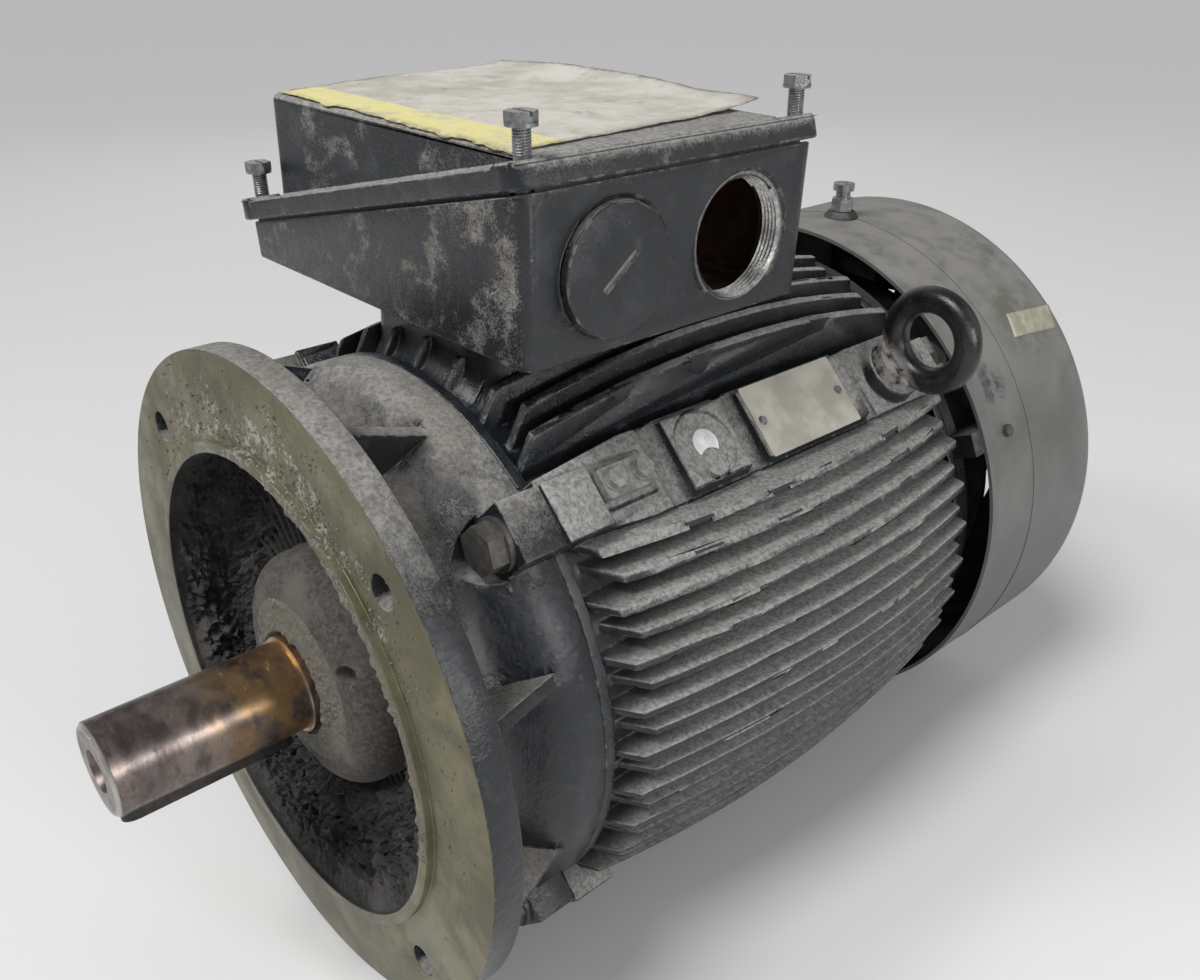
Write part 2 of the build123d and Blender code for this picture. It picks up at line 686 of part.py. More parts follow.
# Fan with straight blades, its key and retaining ring
fan_hub_r = 38
fan_plate_t = 4
with BuildPart() as fan:
    with BuildSketch(Plane.XY):
        with BuildLine():
            Polyline(
                (fan_seat_r + seat_gap, fan_front_y), (fan_hub_r, fan_front_y), (fan_hub_r + 8, fan_front_y + 6),
                (fan_r - 12, fan_front_y + 6), (fan_r - 12, fan_front_y + 6 + fan_plate_t),
                (fan_hub_r + 6, fan_front_y + 6 + fan_plate_t), (fan_hub_r - 2, fan_front_y + 16),
                (fan_hub_r - 4, fan_front_y + fan_width - 14),
                (fan_seat_r + seat_gap, fan_front_y + fan_width - 14), close=True,
            )
        make_face()
    revolve(axis=Axis.Y)
    for index in range(fan_blades):
        with BuildSketch(web_plane(360 / fan_blades * index + 12)):
            Polygon(
                (fan_hub_r - 5, fan_front_y + 14), (fan_hub_r + 22, fan_front_y + 7), (fan_r - 13, fan_front_y + 7),
                (fan_r - 6, fan_front_y), (fan_r, fan_front_y), (fan_r, fan_front_y + fan_width - 8),
                (fan_r - 12, fan_front_y + fan_width), (fan_hub_r + 34, fan_front_y + fan_width - 6), align=None,
            )
        extrude(amount=1.6, both=True)
    with BuildSketch(Plane.XY.offset(fan_seat_r - 1)):
        with Locations((0, fan_front_y + 12)):
            Rectangle(10, 60)
    extrude(amount=4, mode=Mode.SUBTRACT)
finish(fan, "fan")

with BuildPart() as fan_key:
    with BuildSketch(Plane.XY.offset(fan_seat_r - 4)):
        with Locations((0, fan_front_y + 12)):
            SlotOverall(26 - 2 * seat_gap, 10 - 2 * seat_gap, rotation=90)
    extrude(amount=6.8)
finish(fan_key, "fan_key")

with BuildPart() as fan_ring:
    with BuildSketch(station(shaft_rear_y - 8)):
        Circle(fan_seat_r + 4)
        Circle(fan_seat_r - 1.5 + seat_gap, mode=Mode.SUBTRACT)
        with Locations((0, fan_seat_r + 2)):
            Rectangle(7, 8, mode=Mode.SUBTRACT)
    extrude(amount=-(2 - seat_gap))
finish(fan_ring, "fan_retaining_ring")

# Fan cowl of drawn sheet with a seam bead and a grille of ring slots in its back
grille_inner_r = 28
grille_pitch = 16
grille_slot = 8.5
grille_rings = 6
grille_spokes = 8
seam_y = cowl_front_y + 57
nipple_hole_r = 8
with BuildPart() as cowl:
    with BuildSketch(Plane.XY):
        with BuildLine():
            inner = cowl_r - cowl_t
            corner = cowl_corner_r
            Polyline((inner, cowl_front_y), (cowl_r, cowl_front_y), (cowl_r, cowl_back_y - corner))
            RadiusArc((cowl_r, cowl_back_y - corner), (cowl_r - corner, cowl_back_y), -corner)
            Polyline(
                (cowl_r - corner, cowl_back_y), (0, cowl_back_y), (0, cowl_back_y - cowl_t),
                (cowl_r - corner, cowl_back_y - cowl_t),
            )
            RadiusArc(
                (cowl_r - corner, cowl_back_y - cowl_t), (inner, cowl_back_y - corner), corner - cowl_t
            )
            Line((inner, cowl_back_y - corner), (inner, cowl_front_y))
        make_face()
    revolve(axis=Axis.Y)
    with BuildSketch(Plane.XY):
        with Locations((cowl_r, seam_y)):
            Rectangle(0.9, 4)
    revolve(axis=Axis.Y)
    with BuildSketch(station(cowl_back_y + 1)):
        for ring in reversed(range(grille_rings)):
            r = grille_inner_r + ring * grille_pitch
            Circle(r + grille_slot)
            Circle(r, mode=Mode.SUBTRACT)
        for spoke in range(grille_spokes):
            with Locations(Rot(0, 0, 360 / grille_spokes * spoke)):
                Rectangle(2 * cowl_r, 9, mode=Mode.SUBTRACT)
    extrude(amount=cowl_t + 2, mode=Mode.SUBTRACT)
    with Locations(Plane.XY.offset(cowl_r)):
        with Locations((0, grease_y)):
            Hole(nipple_hole_r, depth=20)
    for index in range(4):
        with Locations(radial_plane(cowl_screw_angle + 90 * index, cowl_screw_y, cowl_r)):
            Hole(cowl_screw_d / 2 + seat_gap, depth=10)
finish(cowl, "fan_cowl")

cowl_screws = []
for index in range(4):
    head = radial_plane(cowl_screw_angle + 90 * index, cowl_screw_y, cowl_r + 0.2)
    cowl_screws.append(hex_screw(head, cowl_screw_d, 14, 8, 3.2, washer=False))
group("cowl_screws", cowl_screws)

# Terminal box base: drafted casting cut off along the sloping joint
box_draft = 2.2
box_gasket = 1.5
screw_half_x = box_width / 2 - 6
screw_half_y = box_length / 2 - 6
screw_boss_r = 9
wall_plane_x = box_mid_x + box_width / 2
entry_boss_r = entry_d / 2 + 8
plug_head_r = entry_d / 2 + 1.8
spot_rise = 0.6
board_l = 112
board_w = 66
board_t = 12
board_z = box_floor_z + box_floor_t + 14
board_x = box_mid_x - 14
stud_d = 8
stud_pitch_y = 36
stud_pitch_x = 38


def box_corners():
    """Places of the four lid screws."""
    return [
        (box_mid_x + sx * screw_half_x, box_mid_y + sy * screw_half_y) for sx in (-1, 1) for sy in (-1, 1)
    ]


def wall_plane(y, rise):
    """Plane parallel to the entry wall, centred on an entry, facing outward."""
    return Plane(origin=(wall_plane_x + rise, y, entry_z), x_dir=(0, 1, 0), z_dir=(1, 0, 0))


with BuildPart() as box_base:
    with BuildSketch(Plane.XY.offset(box_floor_z)):
        with Locations((box_mid_x, box_mid_y)):
            RectangleRounded(box_width, box_length, 7)
    extrude(amount=112, taper=-box_draft)
    with BuildSketch(Plane.XY.offset(box_floor_z + box_floor_t)):
        with Locations((box_mid_x, box_mid_y)):
            RectangleRounded(box_width - 2 * box_wall, box_length - 2 * box_wall, 5)
    extrude(amount=112, taper=-box_draft, mode=Mode.SUBTRACT)
    with BuildSketch(Plane.XY.offset(box_floor_z + 1)):
        with Locations((box_mid_x, box_mid_y)):
            RectangleRounded(box_width, box_length, 7)
        with BuildSketch(Plane.XY.offset(box_floor_z + 1), mode=Mode.INTERSECT):
            with Locations(*box_corners()):
                Circle(screw_boss_r)
    extrude(amount=111)
    for y in (entry_near_y, entry_rear_y):
        with BuildSketch(wall_plane(y, -1)):
            Circle(entry_boss_r)
        extrude(amount=-box_wall - 8)
    split(bisect_by=joint_plane(-box_gasket), keep=Keep.BOTTOM)
    with BuildSketch(Plane.XY.offset(box_floor_z - 1)):
        with Locations((box_mid_x, box_mid_y)):
            RectangleRounded(duct_w, duct_l, duct_corner_r)
    extrude(amount=box_floor_t + 2, mode=Mode.SUBTRACT)
    with BuildSketch(Plane.XY.offset(box_floor_z + box_floor_t - 1)):
        with Locations((board_x, box_mid_y)):
            with GridLocations(board_w - 14, board_l - 10, 2, 2):
                Circle(6)
    extrude(amount=board_z - box_floor_z - box_floor_t + 1)
    with Locations(Plane.XY.offset(board_z)):
        with Locations((board_x, box_mid_y)):
            with GridLocations(board_w - 14, board_l - 10, 2, 2):
                Hole(2.5 + seat_gap, depth=14)
        with Locations((box_mid_x, box_mid_y)):
            with GridLocations(box_screw_pitch_x, box_screw_pitch_y, 2, 2):
                Hole(box_screw_d / 2 + seat_gap, depth=60)
        with Locations((box_mid_x + 96, box_mid_y - 62)):
            Hole(3 + seat_gap, depth=19)
    with Locations(Plane.XY.offset(320)):
        with Locations(*box_corners()):
            Hole(lid_screw_d / 2 + slide_gap, depth=320 - box_floor_z - box_floor_t)
    for y in (entry_near_y, entry_rear_y):
        with BuildSketch(wall_plane(y, spot_rise)):
            Circle(plug_head_r + 1.5)
        extrude(amount=6, mode=Mode.SUBTRACT)
        with Locations(wall_plane(y, 12)):
            Hole(entry_d / 2, depth=50)
finish(box_base, "terminal_box_base")

with BuildPart() as base_gasket:
    with BuildSketch(Plane.XY.offset(pedestal_top_z)):
        with Locations((box_mid_x, box_mid_y)):
            RectangleRounded(pedestal_w - 4, pedestal_l - 4, pedestal_corner_r - 2)
            RectangleRounded(duct_w, duct_l, duct_corner_r, mode=Mode.SUBTRACT)
            with GridLocations(box_screw_pitch_x, box_screw_pitch_y, 2, 2):
                Circle(box_screw_d / 2 + slide_gap, mode=Mode.SUBTRACT)
    extrude(amount=box_gasket_t)
finish(base_gasket, "box_base_gasket")

with BuildPart() as lid_gasket:
    with BuildSketch(joint_plane(-box_gasket)):
        run = box_width / cos(radians(joint_slope))
        RectangleRounded(run - 1, box_length - 1, 7)
        RectangleRounded(run - 22, box_length - 20, 5, mode=Mode.SUBTRACT)
        with GridLocations(2 * screw_half_x / cos(radians(joint_slope)), 2 * screw_half_y, 2, 2):
            Circle(6, mode=Mode.SUBTRACT)
    extrude(amount=box_gasket * cos(radians(joint_slope)))
finish(lid_gasket, "lid_gasket")

# Lid: level top over the sloping joint, screw ledge all round
lid_wall = 5
lid_far_x = -121
lid_near_x = 127
lid_side_inset = 14
lid_body_l = box_length - 2 * lid_side_inset
lid_rim_run = (box_width + 2 * lid_rim_out + 5) / cos(radians(joint_slope))
with BuildPart() as lid:
    with BuildSketch(Plane.XY.offset(box_floor_z)):
        with Locations(((lid_far_x + lid_near_x) / 2, box_mid_y)):
            RectangleRounded(lid_near_x - lid_far_x + 6, lid_body_l + 6, 12)
    extrude(amount=lid_top_z - box_floor_z, taper=1.6)
    fillet(lid.faces().sort_by(Axis.Z)[-1].edges(), 4)
    split(bisect_by=joint_plane(), keep=Keep.TOP)
    with BuildSketch(joint_plane()):
        RectangleRounded(lid_rim_run, box_length + 2 * lid_rim_out, 10)
    extrude(amount=lid_rim_t, taper=3)
    with BuildSketch(joint_plane()):
        with GridLocations(2 * screw_half_x / cos(radians(joint_slope)), 2 * screw_half_y, 2, 2):
            Circle(screw_boss_r + 2.2)
    extrude(amount=lid_rim_t + 1.5)
    with BuildSketch(Plane.XY.offset(box_floor_z - 10)):
        with Locations(((lid_far_x + lid_near_x) / 2, box_mid_y)):
            RectangleRounded(lid_near_x - lid_far_x + 6 - 2 * lid_wall, lid_body_l + 6 - 2 * lid_wall, 8)
    extrude(amount=lid_top_z - lid_wall - box_floor_z + 10, taper=1.6, mode=Mode.SUBTRACT)
    with Locations(Plane.XY.offset(330)):
        with Locations(*box_corners()):
            Hole(lid_screw_d / 2 + seat_gap, depth=110)
finish(lid, "terminal_box_lid")

# Lid screws, backed out and standing proud
lid_screws = []
for x, y in box_corners():
    boss_z = joint_z + (x - box_mid_x) * slope + (lid_rim_t + 1.5) / cos(radians(joint_slope))
    head = Plane.XY.offset(boss_z + lid_screw_raise)
    head.origin = (x, y, boss_z + lid_screw_raise)
    with BuildPart() as screw:
        with BuildSketch(head):
            Circle(7.4)
        extrude(amount=1.6)
        with BuildSketch(head.offset(1.6)):
            RegularPolygon(6.5, 6, major_radius=False)
        extrude(amount=4.6)
        with BuildSketch(head.offset(6.2)):
            Rectangle(16, 1.5)
        extrude(amount=-1.8, mode=Mode.SUBTRACT)
        with BuildSketch(head):
            Circle(lid_screw_d / 2)
        extrude(amount=-38)
    lid_screws.append(screw.part)
group("lid_screws", lid_screws)

# Blanking plug with its screwdriver slot
with BuildPart() as plug:
    with BuildSketch(wall_plane(entry_near_y, spot_rise)):
        Circle(plug_head_r)
    extrude(amount=5, taper=4)
    with BuildSketch(wall_plane(entry_near_y, spot_rise)):
        Circle(entry_d / 2 - slide_gap)
        Circle(entry_d / 2 - 4, mode=Mode.SUBTRACT)
    extrude(amount=-12)
    with BuildSketch(wall_plane(entry_near_y, spot_rise + 5.4)):
        Rectangle(26, 2.4, rotation=38)
    extrude(amount=-3.4, mode=Mode.SUBTRACT)
finish(plug, "blanking_plug")

# Terminal board with six studs, nuts and three links, held by four screws
with BuildPart() as board:
    with BuildSketch(Plane.XY.offset(board_z)):
        with Locations((board_x, box_mid_y)):
            RectangleRounded(board_w, board_l, 5)
            with GridLocations(board_w - 14, board_l - 10, 2, 2):
                Circle(2.5 + seat_gap, mode=Mode.SUBTRACT)
    extrude(amount=board_t)
    with BuildSketch(Plane.XY.offset(board_z + board_t)):
        with Locations((board_x, box_mid_y)):
            with GridLocations(0, stud_pitch_y, 1, 2):
                Rectangle(board_w - 4, 3)
    extrude(amount=8)
    with Locations(Plane.XY.offset(board_z + board_t)):
        with Locations((board_x, box_mid_y)):
            with GridLocations(stud_pitch_x, stud_pitch_y, 2, 3):
                Hole(stud_d / 2 + seat_gap, depth=board_t)
finish(board, "terminal_board")

studs = []
nuts = []
for location in GridLocations(stud_pitch_x, stud_pitch_y, 2, 3).locations:
    x = board_x + location.position.X
    y = box_mid_y + location.position.Y
    with BuildPart() as stud:
        with Locations((x, y, board_z - 4)):
            Cylinder(stud_d / 2, board_t + 32, align=(Align.CENTER, Align.CENTER, Align.MIN))
        with Locations((x, y, board_z - 5)):
            Cylinder(stud_d / 2 + 2, 5, align=(Align.CENTER, Align.CENTER, Align.MIN))
    studs.append(stud.part)
    for rise in (0, 9.6):
        with BuildPart() as nut:
            with BuildSketch(Plane.XY.offset(board_z + board_t + rise)):
                with Locations((x, y)):
                    RegularPolygon(6.5, 6, major_radius=False)
                    Circle(stud_d / 2 + seat_gap, mode=Mode.SUBTRACT)
            extrude(amount=6.4)
        nuts.append(nut.part)
group("terminal_studs", studs)
group("terminal_nuts", nuts)

links = []
for index in range(3):
    with BuildPart() as link:
        with BuildSketch(Plane.XY.offset(board_z + board_t + 6.8)):
            with Locations((board_x, box_mid_y + (index - 1) * stud_pitch_y)):
                SlotOverall(stud_pitch_x + 16, 15)
                with GridLocations(stud_pitch_x, 0, 2, 1):
                    Circle(stud_d / 2 + seat_gap, mode=Mode.SUBTRACT)
        extrude(amount=2.4)
    links.append(link.part)
group("terminal_links", links)

board_screws = []
box_screws = []
for location in GridLocations(board_w - 14, board_l - 10, 2, 2).locations:
    head = Plane(origin=(board_x + location.position.X, box_mid_y + location.position.Y, board_z + board_t))
    board_screws.append(hex_screw(head, 5, 20, 8, 3.5, washer=False))
for location in GridLocations(box_screw_pitch_x, box_screw_pitch_y, 2, 2).locations:
    head = Plane(origin=(box_mid_x + location.position.X, box_mid_y + location.position.Y,
                         box_floor_z + box_floor_t))
    box_screws.append(hex_screw(head, box_screw_d, 24, 13, 5.3))
group("terminal_board_screws", board_screws)
group("box_fixing_screws", box_screws)
earth_head = Plane(origin=(box_mid_x + 96, box_mid_y - 62, box_floor_z + box_floor_t))
group("inner_earth_screw", [hex_screw(earth_head, 6, 4.8, 10, 4)])

# Outer earth clamp and its two screws, nameplate and rivets on the right-hand rail
earth_top = rail_r + earth_pad_h
earth_clamp_t = 7
with BuildPart() as earth_clamp:
    with BuildSketch(rail_plane(45, earth_pad_y, earth_top)):
        RectangleRounded(34, 17, 2)
        with GridLocations(earth_screw_pitch, 0, 2, 1):
            Circle(earth_screw_d / 2 + seat_gap, mode=Mode.SUBTRACT)
    extrude(amount=earth_clamp_t)
finish(earth_clamp, "outer_earth_clamp")

earth_screws = []
rivets = []
plate_seat_r = rail_r + pad_h + 2
plate_t = 0.8
for side in (-0.5, 0.5):
    head = rail_plane(45, earth_pad_y + side * earth_screw_pitch, earth_top + earth_clamp_t)
    earth_screws.append(hex_screw(head, earth_screw_d, 16, 10, 4))
    rivet_seat = rail_plane(45, plate_y + side * rivet_pitch, plate_seat_r + plate_t)
    with BuildPart() as rivet:
        with BuildSketch(rivet_seat):
            Circle(3)
        extrude(amount=1.4, taper=30)
        with BuildSketch(rivet_seat):
            Circle(rivet_d / 2)
        extrude(amount=-5)
    rivets.append(rivet.part)
group("outer_earth_screws", earth_screws)
group("nameplate_rivets", rivets)

with BuildPart() as nameplate:
    with BuildSketch(rail_plane(45, plate_y, plate_seat_r)):
        RectangleRounded(82, 45, 1.5)
        with GridLocations(rivet_pitch, 0, 2, 1):
            Circle(rivet_d / 2 + seat_gap, mode=Mode.SUBTRACT)
    extrude(amount=plate_t)
finish(nameplate, "nameplate")

# Eye bolts on the two upper rails
eye_ring_r = 26
eye_wire_r = 8.5
eye_collar_r = 19.5
eye_bolts = []
for angle in (45, 135):
    seat = rail_plane(angle, eye_seat_y, rail_r + eye_seat_h)
    with BuildPart() as eye:
        with BuildSketch(seat):
            Circle(eye_collar_r)
        extrude(amount=8, taper=8)
        with Locations(seat.offset(eye_ring_r + eye_wire_r - 1)):
            Torus(eye_ring_r, eye_wire_r, rotation=(0, 90, 0))
        with BuildSketch(seat):
            Circle(eye_thread_d / 2)
        extrude(amount=-26)
    eye_bolts.append(eye.part)
group("eye_bolts", eye_bolts)

# Grease pipe from the rear hub up through the cowl, its nipple and grommet
pipe_top_z = cowl_r + 5
with BuildPart() as pipe:
    with BuildLine() as route:
        FilletPolyline(
            (0, rear_hub_y - 10, grease_z), (0, grease_y, grease_z), (0, grease_y, pipe_top_z), radius=11,
        )
    with BuildSketch(station(rear_hub_y - 10)):
        with Locations((0, grease_z)):
            Circle(grease_pipe_d / 2)
    sweep(path=route.wires()[0])
finish(pipe, "grease_pipe")

with BuildPart() as nipple:
    with BuildSketch(Plane.XY.offset(pipe_top_z)):
        with Locations((0, grease_y)):
            RegularPolygon(7.5, 6, major_radius=False)
    extrude(amount=9)
    with BuildSketch(Plane.XY.offset(pipe_top_z + 9)):
        with Locations((0, grease_y)):
            Circle(5.5)
    extrude(amount=6)
    with BuildSketch(Plane.XY.offset(pipe_top_z + 15)):
        with Locations((0, grease_y)):
            Circle(8)
    extrude(amount=5)
finish(nipple, "grease_nipple")

with BuildPart() as grommet:
    with BuildSketch(Plane.XZ.offset(-grease_y)):
        Polygon(
            (grease_pipe_d / 2 + seat_gap, cowl_r - 5), (12, cowl_r - 5), (12, cowl_r - cowl_t - 0.6),
            (nipple_hole_r - 0.1, cowl_r - cowl_t - 0.6), (nipple_hole_r - 0.1, cowl_r + 0.5),
            (13, cowl_r + 0.5), (10, cowl_r + 4.4), (grease_pipe_d / 2 + seat_gap, cowl_r + 4.4), align=None,
        )
    revolve(axis=Axis((0, grease_y, 0), (0, 0, 1)))
finish(grommet, "nipple_grommet")
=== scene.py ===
import math
import random

import bmesh
import bpy
from mathutils import Euler, Matrix, Vector, noise
from mathutils.bvhtree import BVHTree


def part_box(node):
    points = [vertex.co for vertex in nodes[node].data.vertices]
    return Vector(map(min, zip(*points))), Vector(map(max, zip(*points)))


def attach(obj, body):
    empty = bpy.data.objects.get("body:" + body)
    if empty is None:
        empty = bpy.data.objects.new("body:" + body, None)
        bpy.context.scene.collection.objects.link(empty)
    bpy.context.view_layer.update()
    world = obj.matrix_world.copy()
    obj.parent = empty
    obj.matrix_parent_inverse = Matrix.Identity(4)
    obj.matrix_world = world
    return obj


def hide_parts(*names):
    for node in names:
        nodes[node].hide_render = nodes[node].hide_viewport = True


# Dusty three-phase induction motor with a mounting flange, for Blender 4.5.
# Metres, shaft along Y with its drive end toward -Y, terminal box up.

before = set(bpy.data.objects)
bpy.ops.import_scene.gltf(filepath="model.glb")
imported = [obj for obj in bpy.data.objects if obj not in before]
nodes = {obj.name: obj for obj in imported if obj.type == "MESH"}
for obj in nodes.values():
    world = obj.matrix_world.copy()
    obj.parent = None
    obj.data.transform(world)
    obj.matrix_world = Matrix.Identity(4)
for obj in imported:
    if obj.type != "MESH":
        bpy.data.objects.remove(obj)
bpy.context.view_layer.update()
scene = bpy.context.scene
turn = 2 * math.pi
slant = math.sqrt(0.5)
random.seed(7)


def ontoAxis(radius, angle, y):
    # a place by its radius and angle round the shaft
    return Vector((radius * math.cos(angle), y, radius * math.sin(angle)))


# Finishes

class Finish:
    # one procedural material, its nodes fed from left to right
    def __init__(self, name):
        self.material = bpy.data.materials.new(name)
        self.material.use_nodes = True
        self.tree = self.material.node_tree
        self.shader = self.tree.nodes["Principled BSDF"]
        places = self.add("ShaderNodeTexCoord")
        self.place = places.outputs["Object"]
        self.facing = self.add("ShaderNodeSeparateXYZ", places.outputs["Normal"]).outputs
        self.at = self.add("ShaderNodeSeparateXYZ", self.place).outputs

    def feed(self, socket, value):
        if isinstance(value, bpy.types.NodeSocket):
            self.tree.links.new(value, socket)
        elif value is not None:
            if socket.type == "RGBA" and len(value) == 3:
                value = (*value, 1)
            socket.default_value = value

    def add(self, kind, *values, **settings):
        node = self.tree.nodes.new(kind)
        for key, value in settings.items():
            setattr(node, key, value)
        for socket, value in zip(node.inputs, values):
            self.feed(socket, value)
        return node

    def calc(self, operation, a, b=None, c=None, clamp=False):
        node = self.add("ShaderNodeMath", a, b, c, operation=operation, use_clamp=clamp)
        return node.outputs[0]

    def times(self, a, b, clamp=False):
        return self.calc("MULTIPLY", a, b, clamp=clamp)

    def scaled(self, value, factor, offset, clamp=False):
        return self.calc("MULTIPLY_ADD", value, factor, offset, clamp=clamp)

    def sway(self, noisy, factor, offset, clamp=False):
        # noise swings round a half: its swing is scaled and added to the offset
        return self.scaled(self.calc("SUBTRACT", noisy, 0.5), factor, offset, clamp)

    def window(self, value, low, high, start=0.0, end=1.0):
        # start below low, end above high, smooth between
        node = self.add("ShaderNodeMapRange", value, low, high, start, end,
                        interpolation_type="SMOOTHSTEP")
        return node.outputs[0]

    def tint(self, amount, a, b):
        node = self.add("ShaderNodeMix", data_type="RGBA")
        for index, value in ((0, amount), (6, a), (7, b)):
            self.feed(node.inputs[index], value)
        return node.outputs[2]

    def grain(self, size, detail=4.0, rough=0.55, stretch=(1, 1, 1), shift=0.0, warp=0.0):
        # noise with features about one size across; a shift gives another pattern
        place = self.place
        if stretch != (1, 1, 1) or shift:
            moved = (shift, shift * 0.7, shift * 1.3)
            place = self.add("ShaderNodeMapping", place, moved, (0, 0, 0), stretch).outputs[0]
        node = self.add("ShaderNodeTexNoise")
        for socket, value in (("Vector", place), ("Scale", 1 / size), ("Detail", detail),
                              ("Roughness", rough), ("Distortion", warp)):
            self.feed(node.inputs[socket], value)
        return node.outputs[0]

    def radius(self):
        # distance from the shaft axis
        flat = self.add("ShaderNodeCombineXYZ", self.at[0], 0.0, self.at[2]).outputs[0]
        return self.add("ShaderNodeVectorMath", flat, operation="LENGTH").outputs["Value"]

    def near(self, point, inner, outer):
        # 1 within inner of a point, 0 beyond outer
        gap = self.add("ShaderNodeVectorMath", self.place, point, operation="DISTANCE")
        return self.window(gap.outputs["Value"], outer, inner)

    def mark(self, name):
        return self.add("ShaderNodeAttribute", attribute_name=name).outputs["Fac"]

    def bump(self, height, distance, strength, below=None):
        node = self.add("ShaderNodeBump", strength, distance)
        self.feed(node.inputs["Height"], height)
        self.feed(node.inputs["Normal"], below)
        return node.outputs[0]

    def use(self, color, rough, metal=None, bump=None):
        for socket, value in (("Base Color", color), ("Roughness", rough),
                              ("Metallic", metal), ("Normal", bump)):
            self.feed(self.shader.inputs[socket], value)
        return self.material


castTone = {
    "paint": (0.010, 0.012, 0.0145),     # dark blue-grey machine paint
    "paintWorn": (0.030, 0.033, 0.037),
    "dust": (0.150, 0.147, 0.141),
    "dustPale": (0.310, 0.306, 0.294),
    "soil": (0.128, 0.108, 0.088),
    "bare": (0.30, 0.30, 0.29),
}


def castFinish(name, upDust=0.9, wallDust=0.2, gloss=0.28, brown=0.0, gate=None, wave=0.0003,
               speck=1.2, clot=0.35, deep=None, lie=(0.05, 0.80), patch=(0.47, 0.66)):
    # painted sand casting: gritty dust lies on upward faces, thins out on walls,
    # and edges are rubbed bright; with deep given, the dust fades toward the fin roots as painted
    # shade between the fins
    f = Finish(name)
    fine = f.grain(0.0012, 4, 0.7)
    medium = f.grain(0.007, 6, 0.7, shift=0.31)
    broad = f.grain(0.045, 5, 0.62, shift=0.77, warp=0.4)
    lying = f.times(f.window(f.facing[2], *lie), upDust)
    lying = f.times(lying, f.window(broad, 0.25, 0.50, 0.70, 1.0))
    patches = f.times(f.window(broad, *patch), wallDust, clamp=True)
    cover = f.calc("MAXIMUM", lying, patches)
    if gate is not None:
        cover = f.times(cover, gate(f), clamp=True)
    grit = f.sway(fine, speck, f.sway(medium, clot, cover))
    dustWithRootShade = f.times(f.window(grit, 0.26, 0.78), f.window(cover, 0.0, 0.14))
    # painted shade between the fins: below the deep radii the dust thins out, so the fin roots go
    # dark
    if deep is not None:
        dustWithRootShade = f.times(dustWithRootShade, f.window(f.radius(), *deep, 0.10, 1.0))
    worn = f.window(f.grain(0.02, 5, 0.6, shift=0.5), 0.50, 0.72)
    skin = f.tint(f.times(worn, 0.7), castTone["paint"], castTone["paintWorn"])
    speckle = f.grain(0.0026, 3, 0.6, shift=0.63)
    tone = f.scaled(f.calc("SUBTRACT", medium, speckle), 0.35, speckle)
    dirt = f.tint(f.window(tone, 0.36, 0.62), castTone["dust"], castTone["dustPale"])
    earthy = f.window(f.grain(0.05, 4, 0.6, shift=0.9), 0.40, 0.62,
                      brown * 0.5, min(1.0, brown + 0.15))
    dirt = f.tint(earthy, dirt, castTone["soil"])
    dirt = f.tint(f.times(f.window(fine, 0.55, 0.68), 0.7), dirt, castTone["paint"])
    chafed = f.window(f.grain(0.007, 5, 0.7, shift=0.2), 0.50, 0.62)
    rubbed = f.times(f.times(f.mark("edge"), chafed), 0.30)
    color = f.tint(rubbed, f.tint(dustWithRootShade, skin, dirt), castTone["bare"])
    rough = f.sway(medium, 0.22, f.scaled(dustWithRootShade, 0.93 - gloss, gloss), clamp=True)
    swell = f.bump(f.grain(0.006, 2, 0.5, shift=0.4), wave, 0.5)
    pits = f.bump(f.scaled(dustWithRootShade, 0.9, f.times(fine, 0.8)), 0.0006, 0.6, below=swell)
    return f.use(color, rough, f.times(rubbed, 0.3), pits)


cowlTone = {
    "paint": (0.098, 0.104, 0.096),
    "paintPale": (0.142, 0.148, 0.138),
    "film": (0.215, 0.200, 0.185),
    "speck": (0.24, 0.235, 0.22),
    # painted shade for the downward faces
    "undersideShade": (0.052, 0.050, 0.053),
    "rubbed": (0.085, 0.088, 0.066),
    "rubbedAt": (0.141, 0.535, 0.142),
    "stain": (0.028, 0.028, 0.030),
    "stainAt": (0.1595, 0.467, 0.1122),
}


def cowlFinish():
    # thin olive-grey paint on sheet: smooth film of dust, a rubbed patch round the label, a stain,
    # and painted shade on the downward faces
    f = Finish("cowlPaint")
    fine = f.grain(0.0009, 4, 0.7)
    cloud = f.grain(0.06, 5, 0.6, shift=0.25, warp=0.4)
    color = f.tint(f.window(cloud, 0.35, 0.65), cowlTone["paint"], cowlTone["paintPale"])
    lying = f.window(f.facing[2], 0.35, 1.0, 0.0, 0.75)
    film = f.times(lying, f.window(f.grain(0.02, 5, 0.65, shift=0.6), 0.30, 0.62))
    color = f.tint(film, color, cowlTone["film"])
    speck = f.times(f.window(fine, 0.62, 0.74), 0.5)
    color = f.tint(speck, color, cowlTone["speck"])
    # painted shade: faces turned downward are darkened
    low = f.window(f.facing[2], 0.35, -0.40, 0.0, 0.85)
    color = f.tint(low, color, cowlTone["undersideShade"])
    wiped = f.window(f.grain(0.02, 4, 0.6, shift=0.1), 0.36, 0.56)
    rubbed = f.times(f.near(cowlTone["rubbedAt"], 0.016, 0.046), wiped)
    color = f.tint(f.times(rubbed, 0.8), color, cowlTone["rubbed"])
    ragged = f.window(f.grain(0.012, 5, 0.7, shift=0.3), 0.42, 0.58)
    stain = f.times(f.near(cowlTone["stainAt"], 0.008, 0.020), ragged)
    color = f.tint(f.times(stain, 0.85), color, cowlTone["stain"])
    rough = f.scaled(f.calc("MAXIMUM", film, speck), 0.42, 0.40, clamp=True)
    return f.use(color, rough, None, f.bump(fine, 0.0002, 0.5))


